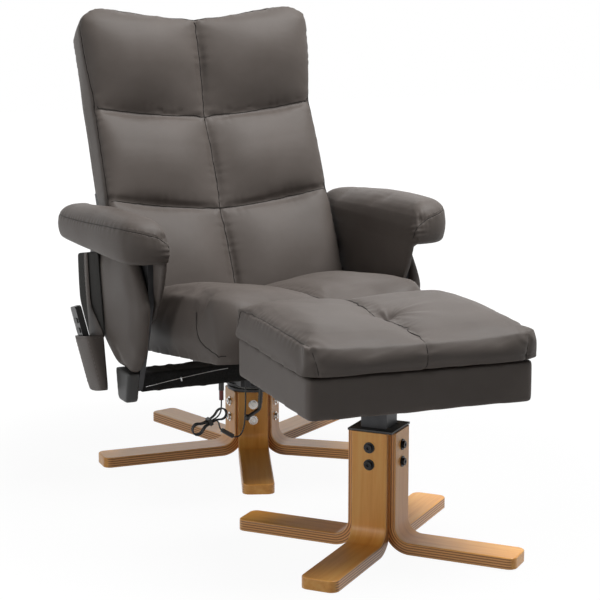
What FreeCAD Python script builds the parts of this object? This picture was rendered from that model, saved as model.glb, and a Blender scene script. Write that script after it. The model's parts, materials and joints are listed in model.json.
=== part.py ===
"""Swivel massage recliner with its matching storage footstool, as a parametric document.

Frame: +Z up, origin on the floor under the swivel axis, the chair faces -Y. Lengths are in millimetres.
"""
import FreeCAD
import Part

import math
import os
from types import SimpleNamespace

SIZES = {
    # gaps shared by many pieces
    "fit_gap": 0.05,
    "clear_gap": 0.4,
    "overrun": 5,
    # bent plywood legs of the chair, bolted round a five-sided core
    "leg_count": 5,
    "leg_turn_angle": -112,
    "leg_width": 68,
    "leg_thick": 22,
    "leg_reach": 357,
    "leg_bend": 30,
    "leg_face": 54,
    "leg_top": 148,
    "leg_tip_round": 16,
    "leg_edge_round": 3,
    "leg_bolt_low": 84,
    "leg_bolt_high": 120,
    "core_bottom": 40,
    "core_foot": 6,
    # bent plywood legs of the stool, bolted to a square post
    "stool_leg_count": 4,
    "stool_leg_turn_angle": 45,
    "stool_leg_width": 72,
    "stool_leg_thick": 22,
    "stool_leg_reach": 284,
    "stool_leg_bend": 30,
    "stool_leg_face": 48,
    "stool_leg_top": 235,
    "stool_leg_tip_round": 16,
    "stool_leg_edge_round": 3,
    "stool_leg_bolt_low": 173,
    "stool_leg_bolt_high": 206,
    # bolts, washers and glides of both bases
    "bolt_radius": 4,
    "bolt_bite": 12,
    "bolt_head_radius": 7,
    "bolt_head_height": 4.5,
    "bolt_socket_radius": 3,
    "bolt_socket_depth": 2.5,
    "washer_radius": 10.5,
    "washer_thick": 1.6,
    "glide_radius": 12,
    "glide_thick": 3,
    "glide_inset": 34,
    # swivel
    "spindle_radius": 13,
    "spindle_tail": 60,
    "cap_radius": 56,
    "cap_thick": 6,
    "thrust_radius": 44,
    "thrust_thick": 6,
    "turn_plate_radius": 60,
    "turn_plate_thick": 5,
    # welded under-frame
    "bearer_offset": 40,
    "bearer_width": 25,
    "bearer_height": 25,
    "bearer_front": 55,
    "bearer_rear": 112,
    "beam_front": 90,
    "beam_depth": 60,
    "beam_height": 35,
    "bar_front": 82,
    "bar_depth": 28,
    "bar_half": 100,
    "cover_thick": 2.5,
    "cover_seam_height": 4,
    # arms, both sides alike
    "seat_arm_gap": 26,
    "arm_frame_thick": 12,
    "arm_top": 484,
    "arm_frame_inset": 25,
    "arm_panel_thick": 34,
    "arm_panel_inset": 16,
    "arm_panel_foot": 235,
    "arm_panel_front": 190,
    "arm_panel_rear": 108,
    "arm_pad_width": 100,
    "arm_pad_height": 86,
    "arm_pad_lift": 1.5,
    "arm_pad_front": 240,
    "arm_pad_rear": 242,
    "arm_skirt_thick": 14,
    "arm_skirt_front": 205,
    "arm_skirt_rear": 120,
    "arm_skirt_drop": 150,
    "end_cap_front": 108,
    "end_cap_rear": 30,
    "end_cap_bottom": 166,
    "end_cap_thick": 28,
    "end_cap_round": 12,
    # seat, in its own tilted frame
    "seat_tilt_angle": 7,
    "seat_base": 260,
    "seat_half": 258,
    "seat_front": 404,
    "seat_rear": 40,
    "seat_height": 138,
    "seat_roll": 62,
    "seat_board_thick": 12,
    "seat_board_margin": 14,
    "rail_offset": 70,
    "rail_width": 24,
    "rail_height": 14,
    "rail_front": 235,
    "rail_rear": 104,
    "riser_width": 20,
    "shoe_length": 44,
    "shoe_lip": 5,
    "shoe_thick": 4,
    "shoe_lip_drop": 6,
    "shoe_front": 120,
    "shoe_rear": 16,
    # back, in its own leaning frame
    "back_lean_angle": 23,
    "back_foot_y": 109.6,
    "back_foot_z": 282.7,
    "back_overlap": 12,
    "back_row_low": 257,
    "back_row_high": 481,
    "back_valley": 712,
    "back_horn": 28,
    "back_seam_depth": 46,
    "back_crown": 30,
    "back_board_thick": 12,
    "back_board_inset": 4,
    "back_cover_inset": 6,
    "back_cover_foot": 72,
    "back_cover_thick": 26,
    "back_cover_round": 14,
    "back_bracket_thick": 6,
    "pivot_height": 165,
    "pivot_depth": 9,
    "pivot_radius": 7,
    "pivot_shoulder_radius": 12,
    "pivot_head_height": 6,
    "rod_drop": 142,
    "rod_radius": 6,
    "slot_play": 2.4,
    "fork_offset": 40,
    "fork_thick": 5,
    "fork_prong": 12,
    "fork_strip": 16,
    "fork_front": 70,
    "fork_rise": 28,
    # massage motors
    "motor_radius": 28,
    "motor_height": 20,
    "motor_pocket_gap": 1,
    "seat_motor_x": 110,
    "seat_motor_y": 170,
    "back_motor_x": 120,
    "back_motor_low": 205,
    "back_motor_high": 560,
    # control box
    "control_width": 90,
    "control_depth": 58,
    "control_height": 30,
    "control_offset": 105,
    "control_round": 5,
    # recline lever
    "lever_x": -24,
    "lever_reach": 14,
    "lever_pivot_z": 206,
    "lever_hub_radius": 7,
    "lever_hub_length": 10,
    "lever_pin_radius": 3,
    "lever_ear_thick": 3,
    "lever_base_thick": 4,
    "lever_rod_radius": 4.2,
    "lever_fall": 82,
    "lever_side": 6,
    "lever_toe_side": 30,
    "lever_toe_fall": 16,
    "lever_bend": 12,
    "lever_bulb_radius": 7,
    "lever_rib_count": 7,
    "lever_rib_radius": 5.4,
    "lever_rib_step": 6,
    "lever_rib_length": 3.4,
    # remote pouch and handset, in the pouch's own leaning frame
    "pouch_lean_angle": 10,
    "pouch_y": 85,
    "pouch_drop": 11,
    "pouch_gap": 5,
    "pouch_wall": 3,
    "pouch_width": 95,
    "pouch_length": 308,
    "pouch_pocket": 122,
    "pouch_mouth": 38,
    "pouch_foot": 14,
    "handset_width": 36,
    "handset_length": 158,
    "handset_front_thick": 8,
    "handset_rear_thick": 6,
    "handset_round": 8,
    "handset_shift": 12,
    "key_width": 20,
    "key_height": 11,
    "key_proud": 2,
    "key_depth": 6,
    "key_count": 2,
    "key_top": 26,
    "key_step": 22,
    # low-voltage lead
    "lead_radius": 1.7,
    "lead_plane": 72,
    "lead_rear_plane": 64,
    "lead_front_plane": 84,
    "gland_x": -112,
    "gland_radius": 6,
    "gland_length": 17,
    "plug_radius": 5,
    "plug_length": 22,
    "grommet_x": -45,
    "grommet_radius": 5,
    "grommet_length": 6,
    "joint_radius": 5,
    "joint_length": 32,
    "joint_x": -103,
    "joint_z": 74,
    "joint_fall_angle": 33,
    "return_x": -50,
    "return_z": 79,
    "return_lean_angle": 12,
    "hank_x": -136,
    "hank_z": 99,
    "hank_tilt_angle": 27,
    "hank_half": 48,
    "hank_waist": 4,
    "hank_step": 5,
    "hank_loop_count": 2,
    "tie_half_length": 4,
    "tie_wall": 1.8,
    # stool box and lid, in the stool's own turned frame
    "stool_x": -60,
    "stool_y": -722,
    "stool_turn_angle": -5.3,
    "post_width": 52,
    "post_wall": 3,
    "post_foot": 60,
    "post_plate": 160,
    "post_plate_thick": 4,
    "stool_cap_width": 90,
    "stool_cap_thick": 4,
    "store_width": 433,
    "store_depth": 389,
    "store_bottom": 309,
    "store_height": 78,
    "store_wall": 16,
    "store_round": 12,
    "store_floor_thick": 9,
    "lid_gap": 2,
    "lid_board_thick": 12,
    "lid_board_inset": 14,
    "lid_board_rear": 2,
    "lid_rear_gap": 1.5,
    "lid_side_over": 10,
    "lid_front_over": 16,
    "lid_side": 58,
    "lid_crown": 21,
    "tuft_radius": 34,
    "tuft_depth": 14,
    "hinge_offset": 120,
    "hinge_knuckle_radius": 3.2,
    "hinge_pin_radius": 1.6,
    "hinge_half": 25,
    "hinge_middle_half": 9,
    "hinge_leaf_thick": 2.6,
    "hinge_leaf_drop": 36,
}

# Shares of a cushion's half width, and of its crown, height or inset at those stations
SEAT_ACROSS_SHARES = (0, 0.1, 0.5, 0.86, 1)
SEAT_HEIGHT_SHARES = (0.93, 0.975, 1, 0.97, 0.82)
SEAT_INSET_SHARES = (0, 0, 0, 0.12, 0.5)
BACK_ACROSS_SHARES = (0, 0.12, 0.45, 0.79, 0.94, 1)
BACK_CROWN_SHARES = (0, 0.55, 1, 0.8, 0.3, -0.25)
BACK_LEAST_CROWN_SHARE = 0.08
BACK_TOP_SHARES = (0, 0.12, 0.6, 1, 0.3, -0.9)
BACK_SEAM_SHARES = (1.15, 0.98, 0.87, 1.12)
LID_ACROSS_SHARES = (0, 0.12, 0.5, 0.88, 1)
LID_CROWN_SHARES = (0.55, 0.85, 1, 0.75, 0.12)
LID_INSET_SHARES = (0, 0, 0, 0.1, 0.4)
LID_REAR_INSET_SHARE = 0.3
PAD_ALONG_SHARES = (0, 0.02, 0.07, 0.17, 0.35, 0.6, 0.82, 0.94, 0.985, 1)
PAD_WIDTH_SHARES = (0.5, 0.7, 0.88, 0.99, 1, 1, 1, 0.95, 0.78, 0.55)
PAD_SHIFT_SHARES = (0.16, 0.12, 0.06, 0, 0, 0, 0, 0.25, 0.25, 0.25)
PAD_TOP_SHARES = (0.62, 0.76, 0.88, 0.96, 1, 1, 0.98, 0.9, 0.78, 0.6)
PAD_FOOT_SHARES = (0.26, 0.17, 0.08, 0.02, 0, 0, 0, 0.03, 0.12, 0.22)
PAD_ROUND_SHARE = 0.38
PAD_CORNER_SHARE = 0.05
PANEL_DEPTH_SHARES = (0, 0.45, 0.85, 1)
PANEL_INSET_SHARES = (0.25, 0, 0.33, 1)
PANEL_CORNER_SHARES = ((0.24, 0), (0.56, 0), (1, 0.285), (1, 1), (0.1, 1), (0, 0.62), (0.084, 0.22))
PANEL_ROUND_SHARES = (0.19, 0.15, 0.23, 0.08, 0.08, 0.23, 0.31)
SKIRT_TOE_SHARE = 0.6
FRAME_WAIST_SHARE = 0.62
FRAME_KNEE_SHARE = 0.2
ROUND_SHARE = 0.49
STRAIGHT_ANGLE = math.radians(0.001)

V = FreeCAD.Vector
quarter_turn = math.degrees(math.pi / 2)
X_AXIS, Y_AXIS, Z_AXIS = V(1, 0, 0), V(0, 1, 0), V(0, 0, 1)
SIDES = {"left": -1, "right": 1}

doc = FreeCAD.newDocument("massage_recliner")
sheet = doc.addObject("Spreadsheet::Sheet", "Sizes")
for row, (alias, value) in enumerate(SIZES.items(), start=1):
    sheet.set("A%d" % row, alias)
    sheet.set("B%d" % row, str(value))
    sheet.setAlias("B%d" % row, alias)
doc.recompute()
size = SimpleNamespace(**{alias: float(sheet.get(alias)) for alias in SIZES})
nodes = {}


# Helpers

def at(x=0, y=0, z=0, axis=Z_AXIS, angle=0):
    """A placement from a point and one turn."""
    return FreeCAD.Placement(V(x, y, z), FreeCAD.Rotation(axis, angle))


def keep(piece, label):
    """Name a finished sub-part."""
    piece.Label = label
    nodes[label] = piece
    return piece


def bind(piece, **formulas):
    """Tie properties of a piece to the cells of the sheet."""
    for name, formula in formulas.items():
        piece.setExpression(name, formula)
    return piece


def box(length, width, height, place):
    piece = bind(doc.addObject("Part::Box", "Box"), Length=length, Width=width, Height=height)
    piece.Placement = place
    return piece


def cylinder(radius, height, place):
    piece = bind(doc.addObject("Part::Cylinder", "Cylinder"), Radius=radius, Height=height)
    piece.Placement = place
    return piece


def fuse(*pieces):
    joined = doc.addObject("Part::MultiFuse", "Fuse")
    joined.Shapes = list(pieces)
    joined.Refine = True
    return joined


def cut(base, *tools):
    removed = doc.addObject("Part::Cut", "Cut")
    removed.Base = base
    removed.Tool = tools[0] if len(tools) == 1 else fuse(*tools)
    return removed


def feature(shape, label=None, place=None):
    """A sub-part whose shape is made directly."""
    piece = doc.addObject("Part::Feature", "Form")
    piece.Shape = shape
    if place:
        piece.Placement = place
    return keep(piece, label) if label else piece


def placed(shape, place):
    copy = shape.copy()
    copy.Placement = place.multiply(copy.Placement)
    return copy


def group(label, shape, places):
    """Separate solids of one kind in a single node."""
    return feature(Part.Compound([placed(shape, place) for place in places]), label)


def rounded(corners, radii=0):
    """Lines and corner arcs of a closed outline, in the plane z = 0."""
    count = len(corners)
    radii = radii if isinstance(radii, (list, tuple)) else [radii] * count
    points = [V(a, b, 0) for a, b in corners]
    starts, ends, arcs = [], [], []
    for i, here in enumerate(points):
        to_last = (points[i - 1] - here).normalize()
        to_next = (points[(i + 1) % count] - here).normalize()
        if not radii[i]:
            starts.append(here)
            ends.append(here)
            arcs.append(None)
            continue
        half = to_last.getAngle(to_next) / 2
        reach = radii[i] / math.tan(half)
        middle = (to_last + to_next).normalize() * (radii[i] / math.sin(half) - radii[i])
        starts.append(here + to_last * reach)
        ends.append(here + to_next * reach)
        arcs.append(here + middle)
    pieces = []
    for i in range(count):
        if arcs[i]:
            pieces.append(Part.Arc(starts[i], arcs[i], ends[i]))
        following = starts[(i + 1) % count]
        if (following - ends[i]).Length > size.fit_gap:
            pieces.append(Part.LineSegment(ends[i], following))
    return pieces


def sketch_on(body, role, geometry):
    """A sketch on one of the body's own planes."""
    sketch = body.newObject("Sketcher::SketchObject", "Outline")
    plane = next(part for part in body.Origin.OriginFeatures if part.Role == role)
    sketch.AttachmentSupport = [(plane, "")]
    sketch.MapMode = "FlatFace"
    sketch.addGeometry(geometry, False)
    return sketch


def pad_body(geometry, length, role="YZ_Plane"):
    """A body padded evenly to both sides of one of its planes."""
    body = doc.addObject("PartDesign::Body", "Body")
    pad = body.newObject("PartDesign::Pad", "Pad")
    pad.Profile = sketch_on(body, role, geometry)
    pad.Midplane = True
    bind(pad, Length=length)
    doc.recompute()
    return body


def pocket(body, geometry, role):
    """Cut an outline right through a body, to both sides of a plane."""
    before = body.Shape.Volume
    hole = body.newObject("PartDesign::Pocket", "Pocket")
    hole.Profile = sketch_on(body, role, geometry)
    hole.Type = "ThroughAll"
    hole.Midplane = True
    doc.recompute()
    if body.Shape.Volume >= before:
        raise ValueError("a pocket cuts nothing")


def fillet(body, radius, test):
    """Round the edges of a body that pass a test."""
    base = body.Tip
    names = ["Edge%d" % i for i, edge in enumerate(base.Shape.Edges, start=1) if test(edge)]
    rounding = body.newObject("PartDesign::Fillet", "Fillet")
    rounding.Base = (base, names)
    bind(rounding, Radius=radius)
    doc.recompute()


def centre_of(edge):
    return edge.valueAt((edge.FirstParameter + edge.LastParameter) / 2)


def near(a, b):
    return abs(a - b) < size.fit_gap


def circles(places, radius):
    return [Part.Circle(V(a, b, 0), Z_AXIS, radius) for a, b in places]


def section(x, points):
    """A closed outline in the plane at x: a pair is a corner, a pair marked True the middle of an arc."""
    spots = [(V(x, p[0], p[1]), len(p) == 3) for p in points]
    edges = []
    count = len(spots)
    corners = [i for i in range(count) if not spots[i][1]]
    for this, following in zip(corners, corners[1:] + [count]):
        start, end = spots[this][0], spots[following % count][0]
        if following - this == 2:
            edges.append(Part.Arc(start, spots[this + 1][0], end).toShape())
        else:
            edges.append(Part.LineSegment(start, end).toShape())
    return Part.Wire(edges)


def both_halves(sections):
    """Loft one half of a cushion from its middle seam outwards, and join it to its mirror image."""
    half = Part.makeLoft(sections, True, False)
    other = half.mirror(V(0, 0, 0), X_AXIS)
    return half.fuse(other)


# Bent plywood legs and their fasteners, for chair and stool

def leg_size(kind, name):
    return getattr(size, kind + "_" + name)


def leg_angles(kind, turn=0):
    count = int(leg_size(kind, "count"))
    first = leg_size(kind, "turn_angle") + turn
    return [first + i * math.degrees(2 * math.pi) / count for i in range(count)]


def bent_leg(kind, label, place):
    """One leg bent from plywood: upright against the column, then out along the floor to a round tip."""
    width, thick, bend = (leg_size(kind, name) for name in ("width", "thick", "bend"))
    face, reach, top = (leg_size(kind, name) for name in ("face", "reach", "top"))
    under = size.glide_thick
    over = under + thick
    hub_x, hub_z = face + bend, over + bend
    diagonal = math.sqrt(0.5)
    inner_mid = V(hub_x - bend * diagonal, hub_z - bend * diagonal, 0)
    outer_mid = V(hub_x - (bend + thick) * diagonal, hub_z - (bend + thick) * diagonal, 0)
    corners = [V(face - thick, top, 0), V(face, top, 0), V(face, hub_z, 0), V(hub_x, over, 0),
               V(reach, over, 0), V(reach, under, 0), V(hub_x, under, 0), V(face - thick, hub_z, 0)]
    outline = [
        Part.LineSegment(corners[0], corners[1]),
        Part.LineSegment(corners[1], corners[2]),
        Part.Arc(corners[2], inner_mid, corners[3]),
        Part.LineSegment(corners[3], corners[4]),
        Part.LineSegment(corners[4], corners[5]),
        Part.LineSegment(corners[5], corners[6]),
        Part.Arc(corners[6], outer_mid, corners[7]),
        Part.LineSegment(corners[7], corners[0]),
    ]
    body = pad_body(outline, "Sizes.%s_width" % kind, "XZ_Plane")
    flat = reach - hub_x - leg_size(kind, "tip_round")
    fillet(body, "Sizes.%s_tip_round" % kind, lambda edge: near(edge.Length, thick)
           and near(centre_of(edge).x, reach) and near(abs(centre_of(edge).y), width / 2))
    fillet(body, "Sizes.%s_edge_round" % kind, lambda edge: near(centre_of(edge).z, over)
           and near(edge.Length, flat))
    slope = math.tan(math.pi / leg_size(kind, "count"))
    inside, outside = face - thick - size.overrun, face + size.overrun
    for side in (-1, 1):
        wedge = [(r, side * (r * slope - size.clear_gap)) for r in (inside, outside)]
        wedge += [(outside, side * (outside * slope + width)), (inside, side * (outside * slope + width))]
        pocket(body, rounded(wedge), "XY_Plane")
    heights = (leg_size(kind, "bolt_low"), leg_size(kind, "bolt_high"))
    pocket(body, circles([(0, z) for z in heights], size.bolt_radius + size.fit_gap), "YZ_Plane")
    body.Placement = place
    return keep(body, label)


def bolt_shape(grip):
    """A socket-head bolt with its washer, turned about its own axis, head outwards along +X."""
    washer, head = size.washer_thick, size.washer_thick + size.bolt_head_height
    socket = head - size.bolt_socket_depth
    profile = [(-grip, 0), (-grip, size.bolt_radius), (0, size.bolt_radius), (0, size.washer_radius),
               (washer, size.washer_radius), (washer, size.bolt_head_radius), (head, size.bolt_head_radius),
               (head, size.bolt_socket_radius), (socket, size.bolt_socket_radius), (socket, 0)]
    face = Part.Face(Part.Wire([line.toShape() for line in rounded(profile)]))
    return face.revolve(V(0, 0, 0), X_AXIS, math.degrees(2 * math.pi))


def bolt_places(kind, angles, base):
    heights = (leg_size(kind, "bolt_low"), leg_size(kind, "bolt_high"))
    spots = [at(0, 0, z, Z_AXIS, angle) for angle in angles for z in heights]
    return [base.multiply(spot).multiply(at(leg_size(kind, "face"))) for spot in spots]


def base_fasteners(kind, prefix, angles, base):
    """Bolts through the legs and glides under their tips."""
    grip = leg_size(kind, "thick") + size.bolt_bite
    group(prefix + "_bolts", bolt_shape(grip), bolt_places(kind, angles, base))
    disc = Part.makeCylinder(size.glide_radius, size.glide_thick)
    spot = at(leg_size(kind, "reach") - size.glide_inset)
    turns = [base.multiply(at(axis=Z_AXIS, angle=angle)) for angle in angles]
    group(prefix + "_glides", disc, [turn.multiply(spot) for turn in turns])


def bolt_bores(kind, angles, base):
    """Bores for the leg bolts in the piece that the legs are bolted to."""
    depth = leg_size(kind, "thick") + size.bolt_bite + size.clear_gap
    bore = Part.makeCylinder(size.bolt_radius + size.fit_gap, depth, V(-depth, 0, 0), X_AXIS)
    return feature(Part.Compound([placed(bore, place) for place in bolt_places(kind, angles, base)]))


# Chair base

floor = at()
chair_angles = leg_angles("leg")
for number, angle in enumerate(chair_angles, start=1):
    bent_leg("leg", "chair_leg_%d" % number, at(axis=Z_AXIS, angle=angle))
base_fasteners("leg", "base", chair_angles, floor)

half_turn = math.pi / size.leg_count
core_prism = doc.addObject("Part::Prism", "CorePrism")
bind(core_prism, Polygon="Sizes.leg_count", Height="Sizes.leg_top - Sizes.core_bottom",
     Circumradius="(Sizes.leg_face - Sizes.leg_thick) / cos(180deg / Sizes.leg_count)")
core_prism.Placement = at(0, 0, size.core_bottom, Z_AXIS, size.leg_turn_angle + math.degrees(half_turn))
spindle_bore = cylinder("Sizes.spindle_radius + Sizes.fit_gap", "Sizes.leg_top",
                        at(0, 0, size.core_bottom - size.overrun))
keep(cut(core_prism, spindle_bore, bolt_bores("leg", chair_angles, floor)), "base_core")

cap_top = size.leg_top + size.cap_thick
thrust_top = cap_top + size.thrust_thick
plate_top = thrust_top + size.turn_plate_thick
cap_disc = cylinder("Sizes.cap_radius", "Sizes.cap_thick", at(0, 0, size.leg_top))
spindle = cylinder("Sizes.spindle_radius",
                   "Sizes.spindle_tail + Sizes.cap_thick + Sizes.thrust_thick + Sizes.turn_plate_thick",
                   at(0, 0, size.leg_top - size.spindle_tail))
keep(fuse(cap_disc, spindle), "swivel_lower_plate")
thrust_disc = cylinder("Sizes.thrust_radius", "Sizes.thrust_thick", at(0, 0, cap_top))
thrust_bore = cylinder("Sizes.spindle_radius + Sizes.fit_gap", "Sizes.thrust_thick + 2 * Sizes.overrun",
                       at(0, 0, cap_top - size.overrun))
keep(cut(thrust_disc, thrust_bore), "swivel_thrust_washer")

# Turning under-frame

turn_disc = cylinder("Sizes.turn_plate_radius", "Sizes.turn_plate_thick - Sizes.fit_gap",
                     at(0, 0, thrust_top + size.fit_gap))
turn_bore = cylinder("Sizes.spindle_radius + Sizes.fit_gap", "Sizes.turn_plate_thick + 2 * Sizes.overrun",
                     at(0, 0, thrust_top - size.overrun))
keep(cut(turn_disc, turn_bore), "swivel_upper_plate")

ARM_INNER = "(Sizes.seat_half + Sizes.seat_arm_gap + Sizes.arm_skirt_thick)"
arm_inner = size.seat_half + size.seat_arm_gap + size.arm_skirt_thick
beam_bottom = plate_top + size.bearer_height
beam_top = beam_bottom + size.beam_height
bearer_left = size.bearer_width / 2
bearers = [box("Sizes.bearer_width", "Sizes.bearer_front + Sizes.bearer_rear", "Sizes.bearer_height",
               at(side * size.bearer_offset - bearer_left, -size.bearer_front, plate_top))
           for side in (-1, 1)]
beam_place = at(-arm_inner, -size.beam_front, beam_bottom)
beam = box("2 * " + ARM_INNER, "Sizes.beam_depth", "Sizes.beam_height", beam_place)
bar = box("2 * Sizes.bar_half", "Sizes.bar_depth", "Sizes.beam_height",
          at(-size.bar_half, size.bar_front, beam_bottom))
keep(fuse(beam, bar, *bearers), "under_frame")

sleeve_half = arm_inner - size.clear_gap
sleeve_front = -size.beam_front - size.cover_thick
sleeve_bottom = beam_bottom - size.cover_thick
sleeve = box("2 * (%s - Sizes.clear_gap)" % ARM_INNER, "Sizes.beam_depth + 2 * Sizes.cover_thick",
             "Sizes.beam_height + 2 * Sizes.cover_thick", at(-sleeve_half, sleeve_front, sleeve_bottom))
sleeve_bore = box("2 * " + ARM_INNER, "Sizes.beam_depth", "Sizes.beam_height", beam_place)
bearer_notch = box("2 * Sizes.bearer_offset + Sizes.bearer_width", "Sizes.beam_depth",
                   "Sizes.bearer_height", at(-size.bearer_offset - bearer_left, -size.bearer_front, plate_top))
notch_left = size.rail_width / 2
riser_notches = [box("Sizes.rail_width", "Sizes.beam_depth", "Sizes.bearer_height",
                     at(side * size.rail_offset - notch_left, -size.beam_front, beam_top))
                 for side in (-1, 1)]
keep(cut(sleeve, sleeve_bore, bearer_notch, *riser_notches), "beam_cover")

# Back frame: where the back pivots and where its drive rod runs

back_place = at(0, size.back_foot_y, size.back_foot_z, X_AXIS, -size.back_lean_angle)
pivot = back_place.multVec(V(0, size.pivot_depth, size.pivot_height))
rod = V(0, pivot.y, pivot.z - size.rod_drop)
rod_local = back_place.inverse().multVec(rod)
seat_place = at(0, 0, size.seat_base, X_AXIS, -size.seat_tilt_angle)
rod_seat = seat_place.inverse().multVec(rod)
pivot_eye = 2 * size.pivot_shoulder_radius

# Arms

arm_outer = arm_inner + size.arm_frame_thick
pad_inner = arm_inner - size.arm_skirt_thick - size.fit_gap
beam_rear = -size.beam_front + size.beam_depth
panel_height = size.arm_top - size.clear_gap - size.arm_panel_foot


def arm_frame():
    """The flat frame inside an arm, from the beam's end up to the pad and back to the pivot."""
    eye = pivot_eye
    front = -size.arm_panel_front + size.arm_frame_inset
    waist = size.arm_panel_foot + FRAME_WAIST_SHARE * panel_height
    knee = size.arm_panel_foot + FRAME_KNEE_SHARE * panel_height
    outline = [(-size.beam_front, beam_bottom), (beam_rear, beam_bottom), (beam_rear + eye, knee - eye),
               (pivot.y + eye / 2, pivot.z - eye), (pivot.y + eye, pivot.z),
               (pivot.y + eye / 2, size.arm_top), (front, size.arm_top), (front, waist),
               ((front - size.beam_front) / 2, knee)]
    radii = [0, 0, eye, eye / 2, eye / 2, 0, 0, eye, eye]
    body = pad_body(rounded(outline, radii), "Sizes.arm_frame_thick")
    pocket(body, circles([(pivot.y, pivot.z)], size.pivot_radius + size.fit_gap), "YZ_Plane")
    return body


def panel_outline(inset):
    depth = size.arm_panel_front + size.arm_panel_rear - 2 * inset
    height = panel_height - 2 * inset
    corners = [(inset - size.arm_panel_front + along * depth, size.arm_panel_foot + inset + up * height)
               for along, up in PANEL_CORNER_SHARES]
    return rounded(corners, [share * height for share in PANEL_ROUND_SHARES])


def arm_panel(side):
    """The padded shield outside an arm: full at its middle, drawn in towards its face."""
    turn = FreeCAD.Rotation(V(1, 1, 1), math.degrees(2 * math.pi / 3))
    wires = []
    for depth, inset in zip(PANEL_DEPTH_SHARES, PANEL_INSET_SHARES):
        outline = panel_outline(inset * size.arm_panel_inset)
        wire = Part.Wire([piece.toShape() for piece in outline])
        x = side * (arm_outer + size.fit_gap + depth * size.arm_panel_thick)
        wire.Placement = FreeCAD.Placement(V(x, 0, 0), turn)
        wires.append(wire)
    return Part.makeLoft(wires, True, False)


def pad_section(side, along, width_share, shift_share, top_share, foot_share):
    """One cross-section of an arm's pillow, square where it meets the skirt."""
    width = size.arm_pad_width * width_share
    near_x = pad_inner + (size.arm_pad_width - width) * shift_share
    left, right = sorted((side * near_x, side * (near_x + width)))
    foot = size.arm_top + size.arm_pad_lift
    low = foot + size.arm_pad_height * foot_share
    high = foot + size.arm_pad_height * top_share
    corner = PAD_ROUND_SHARE * min(width, high - low)
    square = PAD_CORNER_SHARE * width
    radii = [square, corner, corner, corner] if side > 0 else [corner, square, corner, corner]
    outline = rounded([(left, low), (right, low), (right, high), (left, high)], radii)
    wire = Part.Wire([piece.toShape() for piece in outline])
    y = -size.arm_pad_front + along * (size.arm_pad_front + size.arm_pad_rear)
    wire.Placement = at(0, y, 0, X_AXIS, quarter_turn)
    return wire


def arm_pad(side):
    """The pillow on top of an arm with the skirt that hangs inside it."""
    rows = zip(PAD_ALONG_SHARES, PAD_WIDTH_SHARES, PAD_SHIFT_SHARES, PAD_TOP_SHARES, PAD_FOOT_SHARES)
    pillow = Part.makeLoft([pad_section(side, *row) for row in rows], True, False)
    low = size.arm_top - size.arm_skirt_drop
    top = size.arm_top + size.arm_pad_height / 2
    slope = size.arm_pad_height * PAD_ROUND_SHARE
    outline = [(-size.arm_skirt_front, top), (-size.arm_skirt_front, size.arm_top),
               (-size.arm_skirt_front + slope, size.arm_top - size.arm_skirt_drop / 2),
               (-size.arm_skirt_front * SKIRT_TOE_SHARE, low), (size.arm_skirt_rear, low),
               (size.arm_skirt_rear, top)]
    skirt = Part.Face(Part.makePolygon([V(0, *spot) for spot in outline + outline[:1]]))
    skirt = skirt.extrude(V(side * size.arm_skirt_thick, 0, 0))
    skirt.translate(V(side * pad_inner, 0, 0))
    return pillow.fuse(skirt).removeSplitter()


frame_body = arm_frame()
frame_x = arm_inner + size.arm_frame_thick / 2
group("arm_frames", frame_body.Shape, [at(side * frame_x) for side in SIDES.values()])
for name, side in SIDES.items():
    feature(arm_panel(side), "arm_panel_" + name)
    feature(arm_pad(side), "arm_pad_" + name)

cap_high = size.arm_panel_foot - size.clear_gap
cap_round = size.end_cap_round
cap_outline = [(-size.end_cap_front, cap_high), (cap_round - size.end_cap_front, size.end_cap_bottom),
               (-size.end_cap_rear - cap_round, size.end_cap_bottom), (-size.end_cap_rear, cap_high)]
end_cap = pad_body(rounded(cap_outline, [0, cap_round, cap_round, 0]), "Sizes.end_cap_thick")
cap_x = arm_outer + size.fit_gap + size.end_cap_thick / 2
group("arm_end_caps", end_cap.Shape, [at(side * cap_x) for side in SIDES.values()])

BACK_BOARD_HALF = "(Sizes.seat_half + Sizes.back_overlap - Sizes.back_board_inset)"
back_half = size.seat_half + size.back_overlap
back_board_half = back_half - size.back_board_inset


def pivot_bolt():
    """A shoulder bolt that carries the back, turned about X, with its head outside the arm frame."""
    tip = back_board_half
    shoulder = tip + size.back_bracket_thick + size.clear_gap
    head = arm_outer + size.pivot_head_height
    thin, thick = size.pivot_radius, size.pivot_shoulder_radius
    profile = [(tip, 0), (tip, thin), (shoulder, thin), (shoulder, thick), (arm_inner, thick),
               (arm_inner, thin), (arm_outer, thin), (arm_outer, thick), (head, thick), (head, 0)]
    face = Part.Face(Part.Wire([line.toShape() for line in rounded(profile)]))
    return face.revolve(V(0, 0, 0), X_AXIS, math.degrees(2 * math.pi))


group("back_pivot_bolts", pivot_bolt(),
      [at(0, pivot.y, pivot.z), at(0, pivot.y, pivot.z, Z_AXIS, math.degrees(math.pi))])

# Seat and its rails, built in the seat's tilted frame

rail_top = -size.shoe_thick - size.clear_gap
rail_bottom = rail_top - size.rail_height


def seat_rail(side):
    """A rail on two risers, one on the cross beam and one on the rear bar."""
    left = side * size.rail_offset - size.rail_width / 2
    rail = box("Sizes.rail_width", "Sizes.rail_front + Sizes.rail_rear", "Sizes.rail_height",
               seat_place.multiply(at(left, -size.rail_front, rail_bottom)))
    risers = []
    for y, depth in ((-size.beam_front, size.beam_depth), (size.bar_front, size.bar_depth)):
        rear_end = seat_place.multVec(V(0, y + depth, rail_bottom))
        height = rear_end.z + size.rail_height / 2 - beam_top
        riser_x = side * size.rail_offset - size.riser_width / 2
        risers.append(feature(Part.makeBox(size.riser_width, depth, height, V(riser_x, y, beam_top))))
    return fuse(rail, *risers)


rails = [seat_rail(side) for side in (-1, 1)]
doc.recompute()
feature(Part.Compound([rail.Shape for rail in rails]), "seat_rails")


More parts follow.
